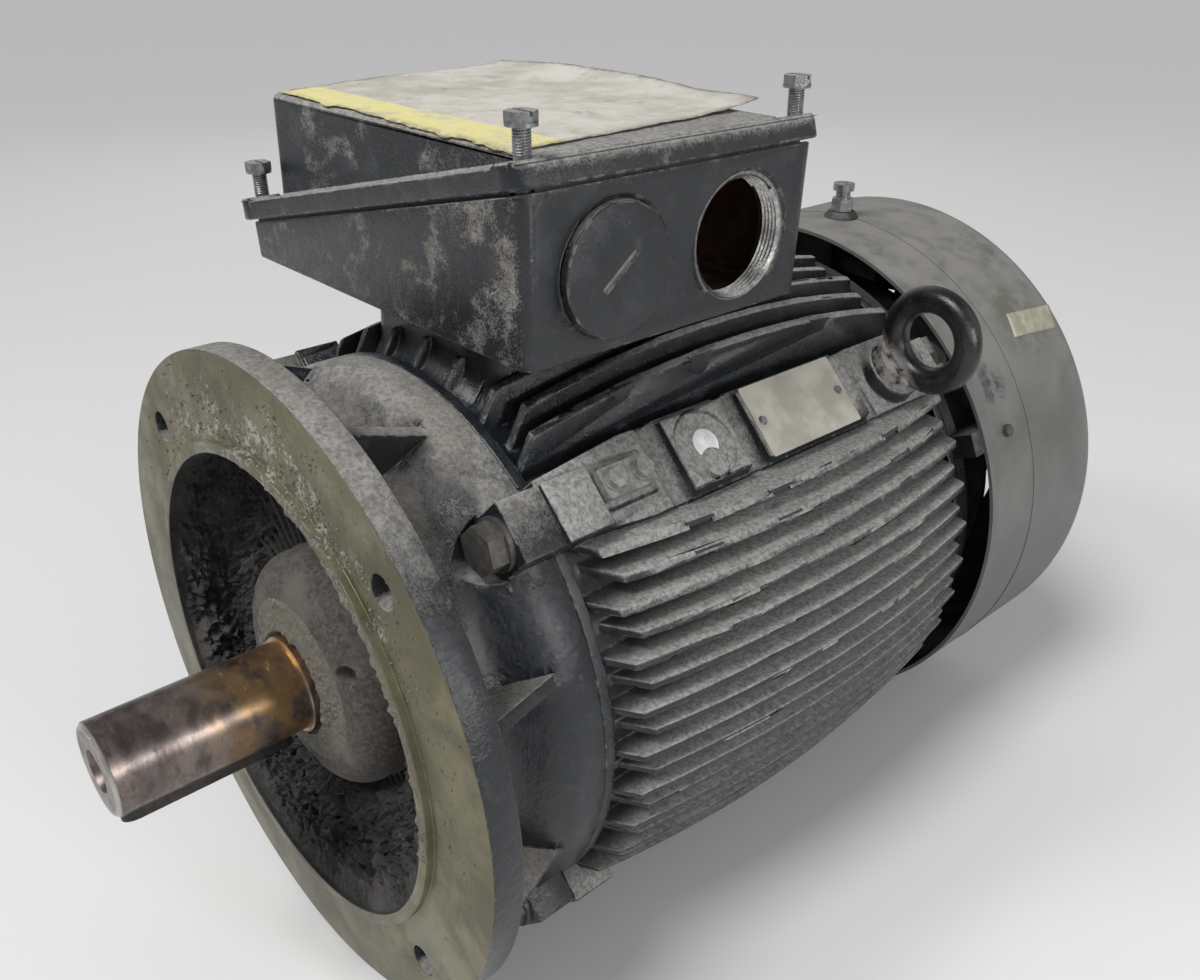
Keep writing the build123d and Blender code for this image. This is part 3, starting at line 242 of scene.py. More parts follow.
def metalFinish(name, tone, rough=0.3, grime=0.3, stain=(0.06, 0.045, 0.035), size=0.006,
                metal=1.0, stretch=(1, 1, 1)):
    # bare or plated metal with fine scratches and some grime
    f = Finish(name)
    patches = f.window(f.grain(size, 5, 0.6, shift=0.2), 0.38, 0.66)
    scratches = f.grain(size * 0.35, 4, 0.7, stretch=stretch, shift=0.6)
    color = f.tint(patches, tuple(0.62 * c for c in tone), tone)
    blots = f.window(f.grain(size * 1.7, 5, 0.65, shift=0.9, warp=0.5), 0.52, 0.70)
    dirty = f.times(blots, grime, clamp=True)
    color = f.tint(dirty, color, stain)
    roughness = f.scaled(dirty, 0.5, f.scaled(scratches, 0.30, rough - 0.13), clamp=True)
    shine = f.calc("SUBTRACT", metal, f.times(dirty, 0.8 * metal), clamp=True)
    return f.use(color, roughness, shine, f.bump(scratches, 0.00015, 0.5))


def plainFinish(name, tone, rough=0.55, grain=0.0008, dust=0.25, dustTone=castTone["dust"]):
    # moulded, painted or pressed surface with grain and a film of dust
    f = Finish(name)
    fine = f.grain(grain, 3, 0.6)
    patches = f.window(f.grain(0.012, 5, 0.6, shift=0.4), 0.35, 0.7)
    color = f.tint(patches, tuple(0.75 * c for c in tone), tuple(min(1, 1.25 * c) for c in tone))
    blots = f.window(f.grain(0.008, 5, 0.6, shift=0.8), 0.40, 0.68)
    film = f.times(f.window(f.facing[2], -0.4, 0.9, 0.25, 1.0), blots)
    film = f.times(film, dust, clamp=True)
    color = f.tint(film, color, dustTone)
    roughness = f.scaled(film, 0.35, f.scaled(fine, 0.16, rough - 0.08), clamp=True)
    return f.use(color, roughness, None, f.bump(fine, 0.00015, 0.6))


flangeTone = {
    "oil": (0.095, 0.088, 0.050),        # olive film left by old protective oil
    "oilPale": (0.205, 0.190, 0.118),
    "turned": (0.30, 0.29, 0.22),
    "rust": (0.050, 0.042, 0.032),
    "film": (0.150, 0.141, 0.102),
    "clump": (0.335, 0.325, 0.275),
    "ringsPerMetre": 1400.0,
}


def machinedFlangeFinish():
    # turned flange face: fine rings, olive film, pale dust clumps at the top, rusty run marks
    f = Finish("flangeFaceMachined")
    away = f.radius()
    rings = f.add("ShaderNodeTexNoise", noise_dimensions="1D")
    f.feed(rings.inputs["W"], away)
    f.feed(rings.inputs["Scale"], flangeTone["ringsPerMetre"])
    turned = rings.outputs[0]
    broad = f.grain(0.05, 5, 0.62, shift=0.15, warp=0.7)
    color = f.tint(f.window(broad, 0.36, 0.64), flangeTone["oil"], flangeTone["oilPale"])
    color = f.tint(f.times(f.window(turned, 0.45, 0.75), 0.3), color, flangeTone["turned"])
    runs = f.grain(0.018, 6, 0.7, stretch=(1, 1, 0.4), shift=0.55, warp=1.2)
    rust = f.times(f.window(runs, 0.56, 0.68), 0.85)
    color = f.tint(rust, color, flangeTone["rust"])
    inside = f.window(away, 0.197, 0.152, 0.25, 1.0)
    settle = f.times(f.window(f.at[2], 0.00, 0.19), inside)
    lumps = f.grain(0.0032, 6, 0.78, shift=0.35)
    clumps = f.sway(f.grain(0.020, 4, 0.6, shift=0.65), 0.8, lumps)
    dust = f.times(f.window(f.scaled(settle, 0.32, clumps), 0.73, 0.84), 0.8)
    veil = f.window(f.grain(0.03, 5, 0.65, shift=0.85), 0.35, 0.65)
    film = f.times(veil, f.window(f.at[2], -0.12, 0.16, 0.10, 0.75))
    color = f.tint(film, color, flangeTone["film"])
    color = f.tint(dust, color, flangeTone["clump"])
    rough = f.scaled(turned, 0.15, 0.30)
    rough = f.scaled(f.calc("MAXIMUM", dust, film), 0.45, rough, clamp=True)
    hidden = f.calc("ADD", f.times(dust, 0.7), f.times(rust, 0.6))
    metal = f.calc("SUBTRACT", 0.72, hidden, clamp=True)
    grooves = f.bump(turned, 0.00006, 0.5)
    return f.use(color, rough, metal, f.bump(f.times(dust, clumps), 0.0014, 0.9, below=grooves))


shaftTone = {
    "steel": (0.120, 0.095, 0.090),
    "steelPale": (0.250, 0.208, 0.188),
    "gold": (0.54, 0.330, 0.150),        # heat tint near the shoulder
    "streak": (0.070, 0.052, 0.045),
    "band": (0.075, 0.060, 0.065),       # dark ring a little behind the end
    "grime": (0.034, 0.028, 0.024),
    "rim": (0.55, 0.53, 0.50),
}


def shaftFinish():
    # turned steel, heat-tinted: purple-brown toward the end, gold patches near the shoulder
    f = Finish("shaftSteel")
    blot = f.grain(0.020, 5, 0.62, stretch=(1, 1.8, 1), shift=0.3)
    fine = f.grain(0.0030, 5, 0.7, stretch=(0.35, 4.0, 0.35), shift=0.6)
    color = f.tint(f.window(blot, 0.38, 0.62), shaftTone["steel"], shaftTone["steelPale"])
    heated = f.window(f.grain(0.024, 4, 0.6, stretch=(1, 1.5, 1), shift=0.8), 0.34, 0.58)
    gold = f.times(f.window(f.at[1], -0.068, -0.018), heated)
    color = f.tint(f.times(gold, 0.85), color, shaftTone["gold"])
    color = f.tint(f.times(f.window(fine, 0.55, 0.70), 0.5), color, shaftTone["streak"])
    band = f.times(f.window(f.at[1], -0.078, -0.086), f.window(f.at[1], -0.103, -0.096))
    color = f.tint(f.times(band, 0.45), color, shaftTone["band"])
    grime = f.window(f.grain(0.007, 6, 0.75, stretch=(1, 2.2, 1), shift=0.45), 0.58, 0.72)
    color = f.tint(f.times(grime, 0.7), color, shaftTone["grime"])
    rim = f.times(f.window(f.at[1], -0.1078, -0.1090), f.window(f.radius(), 0.0225, 0.0262))
    color = f.tint(f.times(rim, 0.8), color, shaftTone["rim"])
    rough = f.scaled(grime, 0.35, f.scaled(fine, 0.30, 0.20), clamp=True)
    metal = f.calc("SUBTRACT", 0.95, f.times(grime, 0.7), clamp=True)
    return f.use(color, rough, metal, f.bump(fine, 0.00012, 0.6))


eyeTone = {
    "black": (0.006, 0.006, 0.0065),
    "blackWorn": (0.016, 0.0155, 0.0155),
    "film": (0.235, 0.222, 0.208),
    "speck": (0.20, 0.19, 0.18),
}


def eyeFinish():
    # worn black lifting eye, its collar powdered with dust near the seat
    f = Finish("eyeBlack")
    fine = f.grain(0.0012, 4, 0.65)
    seat = f.window(f.radius(), 0.2115, 0.2045)
    film = f.times(seat, f.window(f.grain(0.007, 5, 0.7, shift=0.4), 0.34, 0.56))
    worn = f.window(f.grain(0.012, 5, 0.6), 0.40, 0.66)
    color = f.tint(worn, eyeTone["black"], eyeTone["blackWorn"])
    color = f.tint(film, color, eyeTone["film"])
    color = f.tint(f.times(f.window(fine, 0.64, 0.72), 0.4), color, eyeTone["speck"])
    rough = f.scaled(film, 0.5, f.scaled(fine, 0.22, 0.14), clamp=True)
    return f.use(color, rough, None, f.bump(fine, 0.0003, 0.6))


plateTone = {
    "metal": (0.330, 0.316, 0.270),
    "metalPale": (0.460, 0.442, 0.385),
    "speck": (0.235, 0.215, 0.180),
    "scuff": (0.20, 0.165, 0.120),
}


def plateFinish():
    # bare nameplate: cream-grey metal, clouded and scuffed
    f = Finish("plateMetal")
    cloud = f.grain(0.022, 5, 0.6, shift=0.2)
    fine = f.grain(0.0012, 4, 0.7, shift=0.5)
    color = f.tint(f.window(cloud, 0.35, 0.65), plateTone["metal"], plateTone["metalPale"])
    color = f.tint(f.times(f.window(fine, 0.55, 0.75), 0.4), color, plateTone["speck"])
    scuff = f.times(f.window(f.grain(0.009, 6, 0.8, shift=0.7), 0.60, 0.70), 0.55)
    color = f.tint(scuff, color, plateTone["scuff"])
    return f.use(color, f.scaled(fine, 0.3, 0.42), 0.25, f.bump(fine, 0.00012, 0.6))


paperTone = {
    "stock": (0.380, 0.360, 0.315),
    "stockPale": (0.530, 0.512, 0.465),
    "strip": (0.640, 0.585, 0.250),
    "smudge": (0.190, 0.170, 0.140),
    "speck": (0.25, 0.235, 0.205),
    "border": (0.165, 0.140, 0.110),
}


def paperFinish():
    # old bare sheet: cream stock, a faded yellow strip along the front, soot smudges
    f = Finish("lidPaperStock")
    fine = f.grain(0.0013, 4, 0.7)
    cloud = f.grain(0.035, 6, 0.66, shift=0.45)
    color = f.tint(f.window(cloud, 0.34, 0.66), paperTone["stock"], paperTone["stockPale"])
    front = f.scaled(f.at[0], -0.012, f.at[1])
    ragged = f.sway(f.grain(0.012, 5, 0.7), 0.010, front)
    faded = f.window(f.grain(0.018, 6, 0.75, shift=0.9), 0.34, 0.52, 0.25, 0.95)
    strip = f.times(f.window(ragged, 0.1255, 0.1225), faded)
    color = f.tint(strip, color, paperTone["strip"])
    blots = f.window(f.grain(0.014, 6, 0.75, shift=0.15, warp=0.5), 0.55, 0.70)
    color = f.tint(f.times(blots, 0.55), color, paperTone["smudge"])
    color = f.tint(f.times(f.window(fine, 0.60, 0.74), 0.45), color, paperTone["speck"])
    handled = f.window(f.grain(0.006, 5, 0.7, shift=0.6), 0.40, 0.60, 0.3, 0.9)
    color = f.tint(f.times(f.mark("border"), handled), color, paperTone["border"])
    return f.use(color, 0.88, None, f.bump(f.scaled(cloud, 2.0, fine), 0.0008, 0.5))


def sootFinish(name, hollowShade, crownHighlight, patch, size=0.002, height=0.0008):
    # loose dirt: its tone follows its bump, with painted shade in the hollows and a painted
    # highlight on the crowns; another dirt tone in patches
    f = Finish(name)
    lump = f.grain(size, 6, 0.7)
    patches = f.grain(0.035, 3, 0.5, shift=0.5)
    # painted shade and highlight: the bump's own noise darkens its hollows and lightens its crowns
    color = f.tint(f.window(lump, 0.36, 0.66), hollowShade, crownHighlight)
    color = f.tint(f.window(patches, 0.46, 0.66, 0.0, 0.7), color, patch)
    return f.use(color, 0.95, None, f.bump(lump, height, 0.8))


def boxGate(f):
    # the box is dustier on its drive-end side than on its entry side
    return f.window(f.facing[0], 0.75, 0.2, 0.12, 1.0)


def finGate(f):
    # top fins stay dark at their drive end and grow dusty toward the fan
    side = f.calc("MAXIMUM", f.window(f.at[2], 0.150, 0.125), f.window(f.at[0], 0.106, 0.116))
    return f.calc("MAXIMUM", side, f.window(f.at[1], 0.13, 0.30, 0.25, 1.0))


finishes = {
    # deep: painted shade at the fin roots, the dust fading out below these radii
    "casting": castFinish("castingPaint", upDust=1.0, wallDust=0.22, gate=finGate,
                          deep=(0.172, 0.190)),
    "bell": castFinish("bellPaint", upDust=0.80, wallDust=0.22, gloss=0.11, brown=0.40,
                       wave=0.0012, speck=0.8, clot=0.5, lie=(0.35, 0.97)),
    "boxPaint": castFinish("boxPaint", upDust=1.0, wallDust=0.62, gloss=0.24, brown=0.45,
                           gate=boxGate, wave=0.0008, speck=2.6, clot=1.3, patch=(0.42, 0.62)),
    "lidPaint": castFinish("lidPaint", upDust=1.25, wallDust=0.50, gloss=0.26, brown=0.15,
                           wave=0.0007, speck=1.6),
    "plug": castFinish("plugPaint", upDust=0.8, wallDust=0.5, gloss=0.24, gate=boxGate,
                       speck=1.8),
    "flangeFace": machinedFlangeFinish(),
    "shaft": shaftFinish(),
    "cowl": cowlFinish(),
    "eye": eyeFinish(),
    "plate": plateFinish(),
    "paper": paperFinish(),
    # hollow shade, crown highlight, patch
    "recess": sootFinish("recessIron", (0.006, 0.006, 0.006), (0.026, 0.025, 0.024),
                         (0.040, 0.037, 0.034), size=0.004, height=0.0015),
    "hub": sootFinish("hubDust", (0.034, 0.030, 0.027), (0.082, 0.073, 0.065),
                      (0.105, 0.092, 0.080), size=0.003, height=0.0006),
    "soot": sootFinish("packedSoot", (0.008, 0.008, 0.008), (0.036, 0.034, 0.033),
                       (0.066, 0.061, 0.057), size=0.0022, height=0.0014),
    "crumb": sootFinish("drySoil", (0.080, 0.072, 0.060), (0.190, 0.176, 0.150),
                        (0.140, 0.124, 0.100)),
    "clod": sootFinish("brownClods", (0.060, 0.050, 0.042), (0.150, 0.128, 0.108),
                       (0.190, 0.160, 0.130)),
    "sealDirt": sootFinish("sealDirt", (0.050, 0.048, 0.038), (0.165, 0.160, 0.130),
                           (0.110, 0.100, 0.080)),
    # tone, roughness, grime, stain, size of the patches, share of metal
    "spotFace": metalFinish("spotFaceIron", (0.30, 0.295, 0.28), 0.34, 0.7, size=0.003),
    "thread": metalFinish("threadBright", (0.46, 0.455, 0.44), 0.24, 0.25, size=0.003),
    "zinc": metalFinish("zincPlate", (0.30, 0.305, 0.31), 0.24, 0.7, (0.03, 0.028, 0.026),
                        0.004, 0.75),
    "bolt": metalFinish("rustyBolt", (0.125, 0.118, 0.110), 0.42, 0.8, (0.060, 0.052, 0.045),
                        0.004, 0.55),
    "clamp": metalFinish("dullClamp", (0.30, 0.295, 0.285), 0.5, 0.75, (0.140, 0.125, 0.112),
                         0.004, 0.4),
    "bearing": metalFinish("bearingSteel", (0.66, 0.66, 0.65), 0.18, 0.15),
    "cover": metalFinish("coverIron", (0.22, 0.22, 0.215), 0.6, 0.6, size=0.01, metal=0.7),
    "core": metalFinish("coreSheets", (0.27, 0.27, 0.28), 0.45, 0.5, size=0.004,
                        stretch=(1, 40, 1)),
    "copper": metalFinish("varnishedCopper", (0.55, 0.19, 0.07), 0.3, 0.4, (0.16, 0.05, 0.015),
                          0.005, 0.8),
    "cage": metalFinish("cageAluminium", (0.72, 0.72, 0.71), 0.38, 0.25),
    "brass": metalFinish("brassParts", (0.72, 0.50, 0.20), 0.28, 0.3),
    "key": metalFinish("keySteel", (0.060, 0.055, 0.052), 0.42, 0.5, (0.02, 0.018, 0.016),
                       0.004, 0.7),
    # tone, roughness, size of the grain, dust
    "slotDust": plainFinish("slotDust", (0.34, 0.33, 0.29), 0.9, 0.0008, 0.3),
    # red-oxide primer inside the box, its tone darkened as painted shade
    "primerInShade": plainFinish("boxPrimerInShade", (0.050, 0.020, 0.010), 0.6, 0.0012, 0.3),
    "black": plainFinish("blackSteel", (0.016, 0.016, 0.017), 0.26, 0.0012, 0.10),
    "rubber": plainFinish("blackRubber", (0.020, 0.020, 0.020), 0.62, 0.0009, 0.5),
    "fan": plainFinish("fanPlastic", (0.030, 0.030, 0.032), 0.5, 0.0006, 0.45),
    "board": plainFinish("boardResin", (0.11, 0.042, 0.022), 0.45, 0.0005, 0.2),
    "gasket": plainFinish("gasketFibre", (0.045, 0.040, 0.034), 0.85, 0.0007, 0.3),
    "label": plainFinish("labelFoil", (0.310, 0.300, 0.225), 0.42, 0.0009, 0.35,
                         (0.22, 0.215, 0.17)),
    "spot": plainFinish("spotPaint", (0.62, 0.63, 0.64), 0.5, 0.0008, 0.12),
}
print("finishes made:", len(finishes))


# Castings from the CAD nodes

edgeLook = {"flat": 0.6, "fold": 32, "sharp": 38, "segments": 2}     # the first three in degrees


def mergedCopy(nodeName, edge, fold=edgeLook["fold"], keep=None):
    # the node's triangles joined up, its flats made whole, its sharp edges rounded and marked
    shell = bmesh.new()
    shell.from_mesh(nodes[nodeName].data)
    bmesh.ops.remove_doubles(shell, verts=shell.verts, dist=1e-5)
    bmesh.ops.dissolve_limit(shell, angle_limit=math.radians(edgeLook["flat"]),
                             verts=shell.verts, edges=shell.edges)
    marks = shell.faces.layers.float.new("edge")
    sharp = [e for e in shell.edges
             if e.is_manifold and e.calc_face_angle(0) > math.radians(fold)
             and (keep is None or keep(e))]
    rounded = bmesh.ops.bevel(shell, geom=sharp, offset=edge, segments=edgeLook["segments"],
                              profile=0.5, affect="EDGES", clamp_overlap=False, material=-1,
                              loop_slide=True)
    for face in rounded["faces"]:
        face[marks] = 1.0
    for face in shell.faces:
        face.smooth = True
    return shell


def placePiece(shell, name, body, finishNames, instead=()):
    mesh = bpy.data.meshes.new(name)
    shell.to_mesh(mesh)
    shell.free()
    piece = bpy.data.objects.new(name, mesh)
    scene.collection.objects.link(piece)
    for finishName in finishNames:
        mesh.materials.append(finishes[finishName])
    mesh.set_sharp_from_angle(angle=math.radians(edgeLook["sharp"]))
    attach(piece, body)
    if instead:
        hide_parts(*instead)
    return piece


shieldLook = {"edge": 0.0007, "faceDepth": 0.0006, "recessWall": 0.1436, "hub": 0.0775,
              "floorDepth": 0.0665}

shield = mergedCopy("drive_end_shield", shieldLook["edge"])
for face in shield.faces:
    spread = [math.hypot(v.co.x, v.co.z) for v in face.verts]
    deepest = max(v.co.y for v in face.verts)
    recessed = deepest < shieldLook["floorDepth"]
    if deepest < shieldLook["faceDepth"] and min(spread) > shieldLook["recessWall"] - 0.0002:
        face.material_index = 1
    elif recessed and max(spread) < shieldLook["hub"]:
        face.material_index = 3
    elif recessed and max(spread) < shieldLook["recessWall"]:
        face.material_index = 2
shieldTree = BVHTree.FromBMesh(shield)
placePiece(shield, "driveShieldCasting", "base", ["bell", "flangeFace", "recess", "hub"],
           ["drive_end_shield"])

# the scoops across the rail also nick the fins beside it: fillers make those fins whole
frameLook = {"edge": 0.0010}
nickLook = {
    "fins": (("top", 0.096), ("side", 0.112), ("side", 0.098)),
    "ys": (0.174, 0.2355, 0.346),
    "reach": 0.0096, "thick": 0.0045, "deep": 0.016, "edge": 0.0009, "sunk": 0.00004,
    "railHalf": 0.0254, "railShift": 0.0035, "nickHalf": 0.0088, "railRoot": 0.180,
    "rayFrom": 0.26,     # outside the fins
}


def clearOfNicks(edge):
    middle = (edge.verts[0].co + edge.verts[1].co) / 2
    outwardReach = (middle.x + middle.z) * slant
    aside = (middle.x - middle.z) * slant + nickLook["railShift"]
    atNick = any(abs(middle.y - y) < nickLook["nickHalf"] for y in nickLook["ys"])
    besideRail = abs(aside) > nickLook["railHalf"] and outwardReach > nickLook["railRoot"]
    return not (atNick and besideRail)


frameShell = mergedCopy("stator_frame", frameLook["edge"], keep=clearOfNicks)
frameTree = BVHTree.FromBMesh(frameShell)
fillers = bmesh.new()
for side, level in nickLook["fins"]:
    aim = Vector((0, 0, -1)) if side == "top" else Vector((-1, 0, 0))
    across = Vector((1, 0, 0)) if side == "top" else Vector((0, 0, 1))
    for y in nickLook["ys"]:
        tips = []
        for end in (y - nickLook["reach"], y + nickLook["reach"]):
            start = across * level - aim * nickLook["rayFrom"] + Vector((0, end, 0))
            tips.append(frameTree.ray_cast(start, aim)[0] + aim * nickLook["sunk"])
        filler = bmesh.ops.create_cube(fillers, size=1)["verts"]
        tipEdges = [e for e in fillers.edges
                    if e.verts[0] in filler and min(v.co.z for v in e.verts) > 0
                    and e.verts[0].co.x == e.verts[1].co.x]
        for vert in filler:
            depth = (0.5 - vert.co.z) * nickLook["deep"]
            spread = vert.co.x * nickLook["thick"]
            vert.co = tips[vert.co.y > 0] + aim * depth + across * spread
        bmesh.ops.bevel(fillers, geom=tipEdges, offset=nickLook["edge"],
                        segments=edgeLook["segments"], profile=0.5, affect="EDGES", material=-1)
bmesh.ops.recalc_face_normals(fillers, faces=fillers.faces)
placePiece(fillers, "wholeFins", "base", ["casting"])
placePiece(frameShell, "frameCasting", "base", ["casting"], ["stator_frame"])

boxLook = {
    "edge": 0.0012, "lidEdge": 0.0014,
    "entryYs": (0.1355, 0.2235), "entryZ": 0.251, "entryRadius": 0.0362,
    "spotFaceFrom": 0.122, "spotFaceTo": 0.1327,
    "wall": 0.0055, "entryWall": 0.0075,
}

boxShell = mergedCopy("terminal_box_base", boxLook["edge"])
boxLow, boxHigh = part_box("terminal_box_base")
for face in boxShell.faces:
    middle = face.calc_center_median()
    bored = any(math.hypot(middle.y - y, middle.z - boxLook["entryZ"]) < boxLook["entryRadius"]
                for y in boxLook["entryYs"])
    foremost = max(v.co.x for v in face.verts)
    inside = (all(boxLow[i] + boxLook["wall"] < middle[i] for i in range(3))
              and middle.x < boxHigh[0] - boxLook["entryWall"]
              and middle.y < boxHigh[1] - boxLook["wall"])
    if bored and middle.x > boxLook["spotFaceFrom"] and foremost < boxLook["spotFaceTo"]:
        face.material_index = 2
    # the box's inside faces take the primer darkened as painted shade
    elif inside:
        face.material_index = 1
placePiece(boxShell, "boxBaseCasting", "base", ["boxPaint", "primerInShade", "spotFace"],
           ["terminal_box_base"])
lidShell = mergedCopy("terminal_box_lid", boxLook["lidEdge"], fold=24)
placePiece(lidShell, "lidCasting", "lid", ["lidPaint"], ["terminal_box_lid"])

plugLook = {"edge": 0.0010, "y": 0.1355, "z": 0.2510, "slotReach": 0.0142,
            "slotTop": 0.0008, "slotFloor": 0.0045}

plugShell = mergedCopy("blanking_plug", plugLook["edge"])
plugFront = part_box("blanking_plug")[1][0]
for face in plugShell.faces:
    middle = face.calc_center_median()
    central = math.hypot(middle.y - plugLook["y"], middle.z - plugLook["z"]) < plugLook["slotReach"]
    if central and plugLook["slotTop"] < plugFront - middle.x < plugLook["slotFloor"]:
        face.material_index = 1
placePiece(plugShell, "plugCasting", "plug", ["plug", "slotDust"],
           ["blanking_plug"])
print("castings made")


# CAD nodes that keep their shape

nodeFinish = {
    "casting": ["rear_end_shield"],
    "cowl": ["fan_cowl"],
    "core": ["stator_core", "rotor_core"],
    "copper": ["stator_winding"],
    "bearing": ["drive_bearing_outer_race", "rear_bearing_outer_race",
                "drive_bearing_inner_race", "rear_bearing_inner_race",
                "drive_bearing_cage", "drive_bearing_balls",
                "rear_bearing_cage", "rear_bearing_balls"],
    "cover": ["drive_inner_bearing_cover", "rear_inner_bearing_cover", "fan_key"],
    "bolt": ["drive_shield_bolts", "rear_shield_bolts", "drive_cover_screws",
             "rear_cover_screws", "cowl_screws"],
    "clamp": ["outer_earth_clamp", "outer_earth_screws"],
    "zinc": ["box_fixing_screws", "lid_screws", "nameplate_rivets", "drive_wave_washer",
             "fan_retaining_ring", "rear_locating_ring", "grease_nipple", "inner_earth_screw"],
    "rubber": ["drive_shaft_seal", "nipple_grommet", "lid_gasket"],
    "gasket": ["box_base_gasket"],
    "board": ["terminal_board"],
    "brass": ["terminal_studs", "terminal_nuts", "terminal_links", "terminal_board_screws"],
    "black": ["grease_pipe"],
    "eye": ["eye_bolts"],
    "plate": ["nameplate"],
    "shaft": ["shaft"],
    "cage": ["rotor_cage"],
    "fan": ["fan"],
}
for finishName, names in nodeFinish.items():
    for name in names:
        nodes[name].data.materials.clear()
        nodes[name].data.materials.append(finishes[finishName])
print("CAD nodes finished")


# Loose dirt

def rough(place, size, octaves=4):
    # even-tempered noise, about -1 to 1
    return noise.fractal(place / size, 0.8, 2.1, octaves) * 0.9


def crust(name, look, thickness, finishName):
    # a profile spun round the shaft and swelled to a lumpy layer;
    # where it gets thinner than nothing it sinks into the casting
    shell = bmesh.new()
    rowMark = shell.verts.layers.int.new("row")
    corners = [Vector(corner) for corner in look["outline"]]
    lengths = [0.0]
    for a, b in zip(corners, corners[1:]):
        lengths.append(lengths[-1] + (b - a).length)
    profile, slopes = [], []
    for row in range(look["rows"] + 1):
        goal = lengths[-1] * row / look["rows"]
        part = max(i for i in range(len(corners) - 1) if lengths[i] <= goal + 1e-9)
        share = (goal - lengths[part]) / (lengths[part + 1] - lengths[part])
        radius, y = corners[part].lerp(corners[part + 1], share)
        slopes.append((corners[part + 1] - corners[part]).normalized())
        profile.append(shell.verts.new((radius, y, 0)))
        profile[-1][rowMark] = row
    lines = [shell.edges.new(pair) for pair in zip(profile, profile[1:])]
    bmesh.ops.spin(shell, geom=profile + lines, cent=(0, 0, 0), axis=(0, 1, 0),
                   angle=turn, steps=look["steps"], use_merge=True)
    for vert in shell.verts:
        row = vert[rowMark]
        angle = math.atan2(vert.co.z, vert.co.x)
        lift = thickness(angle, row / look["rows"], vert.co)
        vert.co += lift * (Vector((0, slopes[row].x, 0)) - ontoAxis(slopes[row].y, angle, 0))
    shell.verts.layers.int.remove(rowMark)
    bmesh.ops.recalc_face_normals(shell, faces=shell.faces)
    for face in shell.faces:
        face.smooth = True
    placePiece(shell, name, "base", [finishName])


def swing(angle, heavy, low, high):
    # high in the heavy direction, low opposite it
    return low + (high - low) * (0.5 + 0.5 * math.cos(angle - math.radians(heavy)))


recessDirtLook = {
    "outline": ((0.1434, -0.003), (0.1415, 0.006), (0.1385, 0.018), (0.1325, 0.027),
                (0.1230, 0.0320), (0.1080, 0.0335), (0.0930, 0.0350), (0.0790, 0.0385)),
    "steps": 620, "rows": 64,
    "heavy": -85, "thin": -0.0080, "thick": 0.0120, "lumps": 0.0065, "grit": 0.0130,
}


def recessDirt(angle, share, place):
    look = recessDirtLook
    ends = min(1.0, share * 9, (1 - share) * 10)
    depth = swing(angle, look["heavy"], look["thin"], look["thick"])
    lumps = max(-0.4, rough(place, 0.020)) * look["lumps"]
    grit = (abs(rough(place, 0.0085, 3)) - 0.15) * look["grit"]
    return -0.0006 + ends * (depth + lumps + grit)


crust("recessDirt", recessDirtLook, recessDirt, "soot")

lipDirtLook = {
    "outline": ((0.1500, -0.0052), (0.1460, -0.0053), (0.1428, -0.0050), (0.1428, 0.004)),
    "steps": 420, "rows": 12, "heavy": 45, "lumps": 0.0040,
}


def lipDirt(angle, share, place):
    heavy = max(0.0, swing(angle, lipDirtLook["heavy"], -0.6, 1.0))
    lumps = abs(rough(place, 0.009)) + 0.5 * abs(rough(place, 0.003))
    lumps *= 0.75 + 0.6 * rough(place, 0.04)
    ends = min(1.0, 5 * share + 0.1, 6 * (1 - share))
    return -0.0020 + heavy * (0.0012 + lipDirtLook["lumps"] * lumps * ends)


crust("lipDirt", lipDirtLook, lipDirt, "crumb")

sealDirtLook = {
    "outline": ((0.0530, 0.0078), (0.0440, 0.0070), (0.0380, 0.0050), (0.0335, 0.0035),
                (0.0290, 0.0060)),
    "steps": 200, "rows": 16, "lumps": 0.0026,
}


def sealDirt(angle, share, place):
    ends = min(1.0, share * 5, (1 - share) * 6)
    return -0.0008 + ends * (0.0008 + sealDirtLook["lumps"] * abs(rough(place, 0.006)))


crust("sealDirt", sealDirtLook, sealDirt, "sealDirt")
print("dirt layers made")


def crumbs(name, tree, spots, sizes, finishName):
    # small broken lumps resting where rays from the spots meet a surface
    shell = bmesh.new()
    for start, aim in spots:
        hit, normal = tree.ray_cast(start, aim)[:2]
        if hit is None:
            continue
        size = random.uniform(*sizes) * random.uniform(0.5, 1.0)
        made = bmesh.ops.create_icosphere(shell, subdivisions=1, radius=size)
        spin = Euler([random.uniform(0, turn) for axis in range(3)]).to_matrix()
        stretch = Vector([random.uniform(0.6, 1.25) for axis in range(3)])
        for vert in made["verts"]:
            broken = 1 + 0.35 * noise.noise(vert.co / size * 0.9 + hit * 300)
            vert.co = hit + (spin @ (vert.co * broken)) * stretch + normal * size * 0.25
    placePiece(shell, name, "base", [finishName])


def drumSpots(look):
    # rays toward the shaft from all over a sector of a drum
    spots = []
    for index in range(look["count"]):
        angle = math.radians(random.triangular(*look["angles"]))
        start = ontoAxis(look["from"], angle, random.triangular(*look["ys"]))
        spots.append((start, -ontoAxis(1, angle, 0)))
    return spots


def faceSpots(look):
    # rays along the shaft onto the flange
    spots = []
    for index in range(look["count"]):
        angle = math.radians(random.triangular(*look["angles"]))
        start = ontoAxis(random.triangular(*look["radii"]), angle, look["from"])
        spots.append((start, Vector((0, 1, 0))))
    return spots


# spreads are given as least, most and likeliest
flangeCrumbLook = {"count": 520, "sizes": (0.0003, 0.0012), "radii": (0.1510, 0.1985, 0.1530),
                   "angles": (-10, 165, 75), "from": -0.05}
bellCrumbLook = {"count": 150, "sizes": (0.0008, 0.0030), "ys": (0.022, 0.056, 0.028),
                 "angles": (88, 122, 106), "from": 0.26}

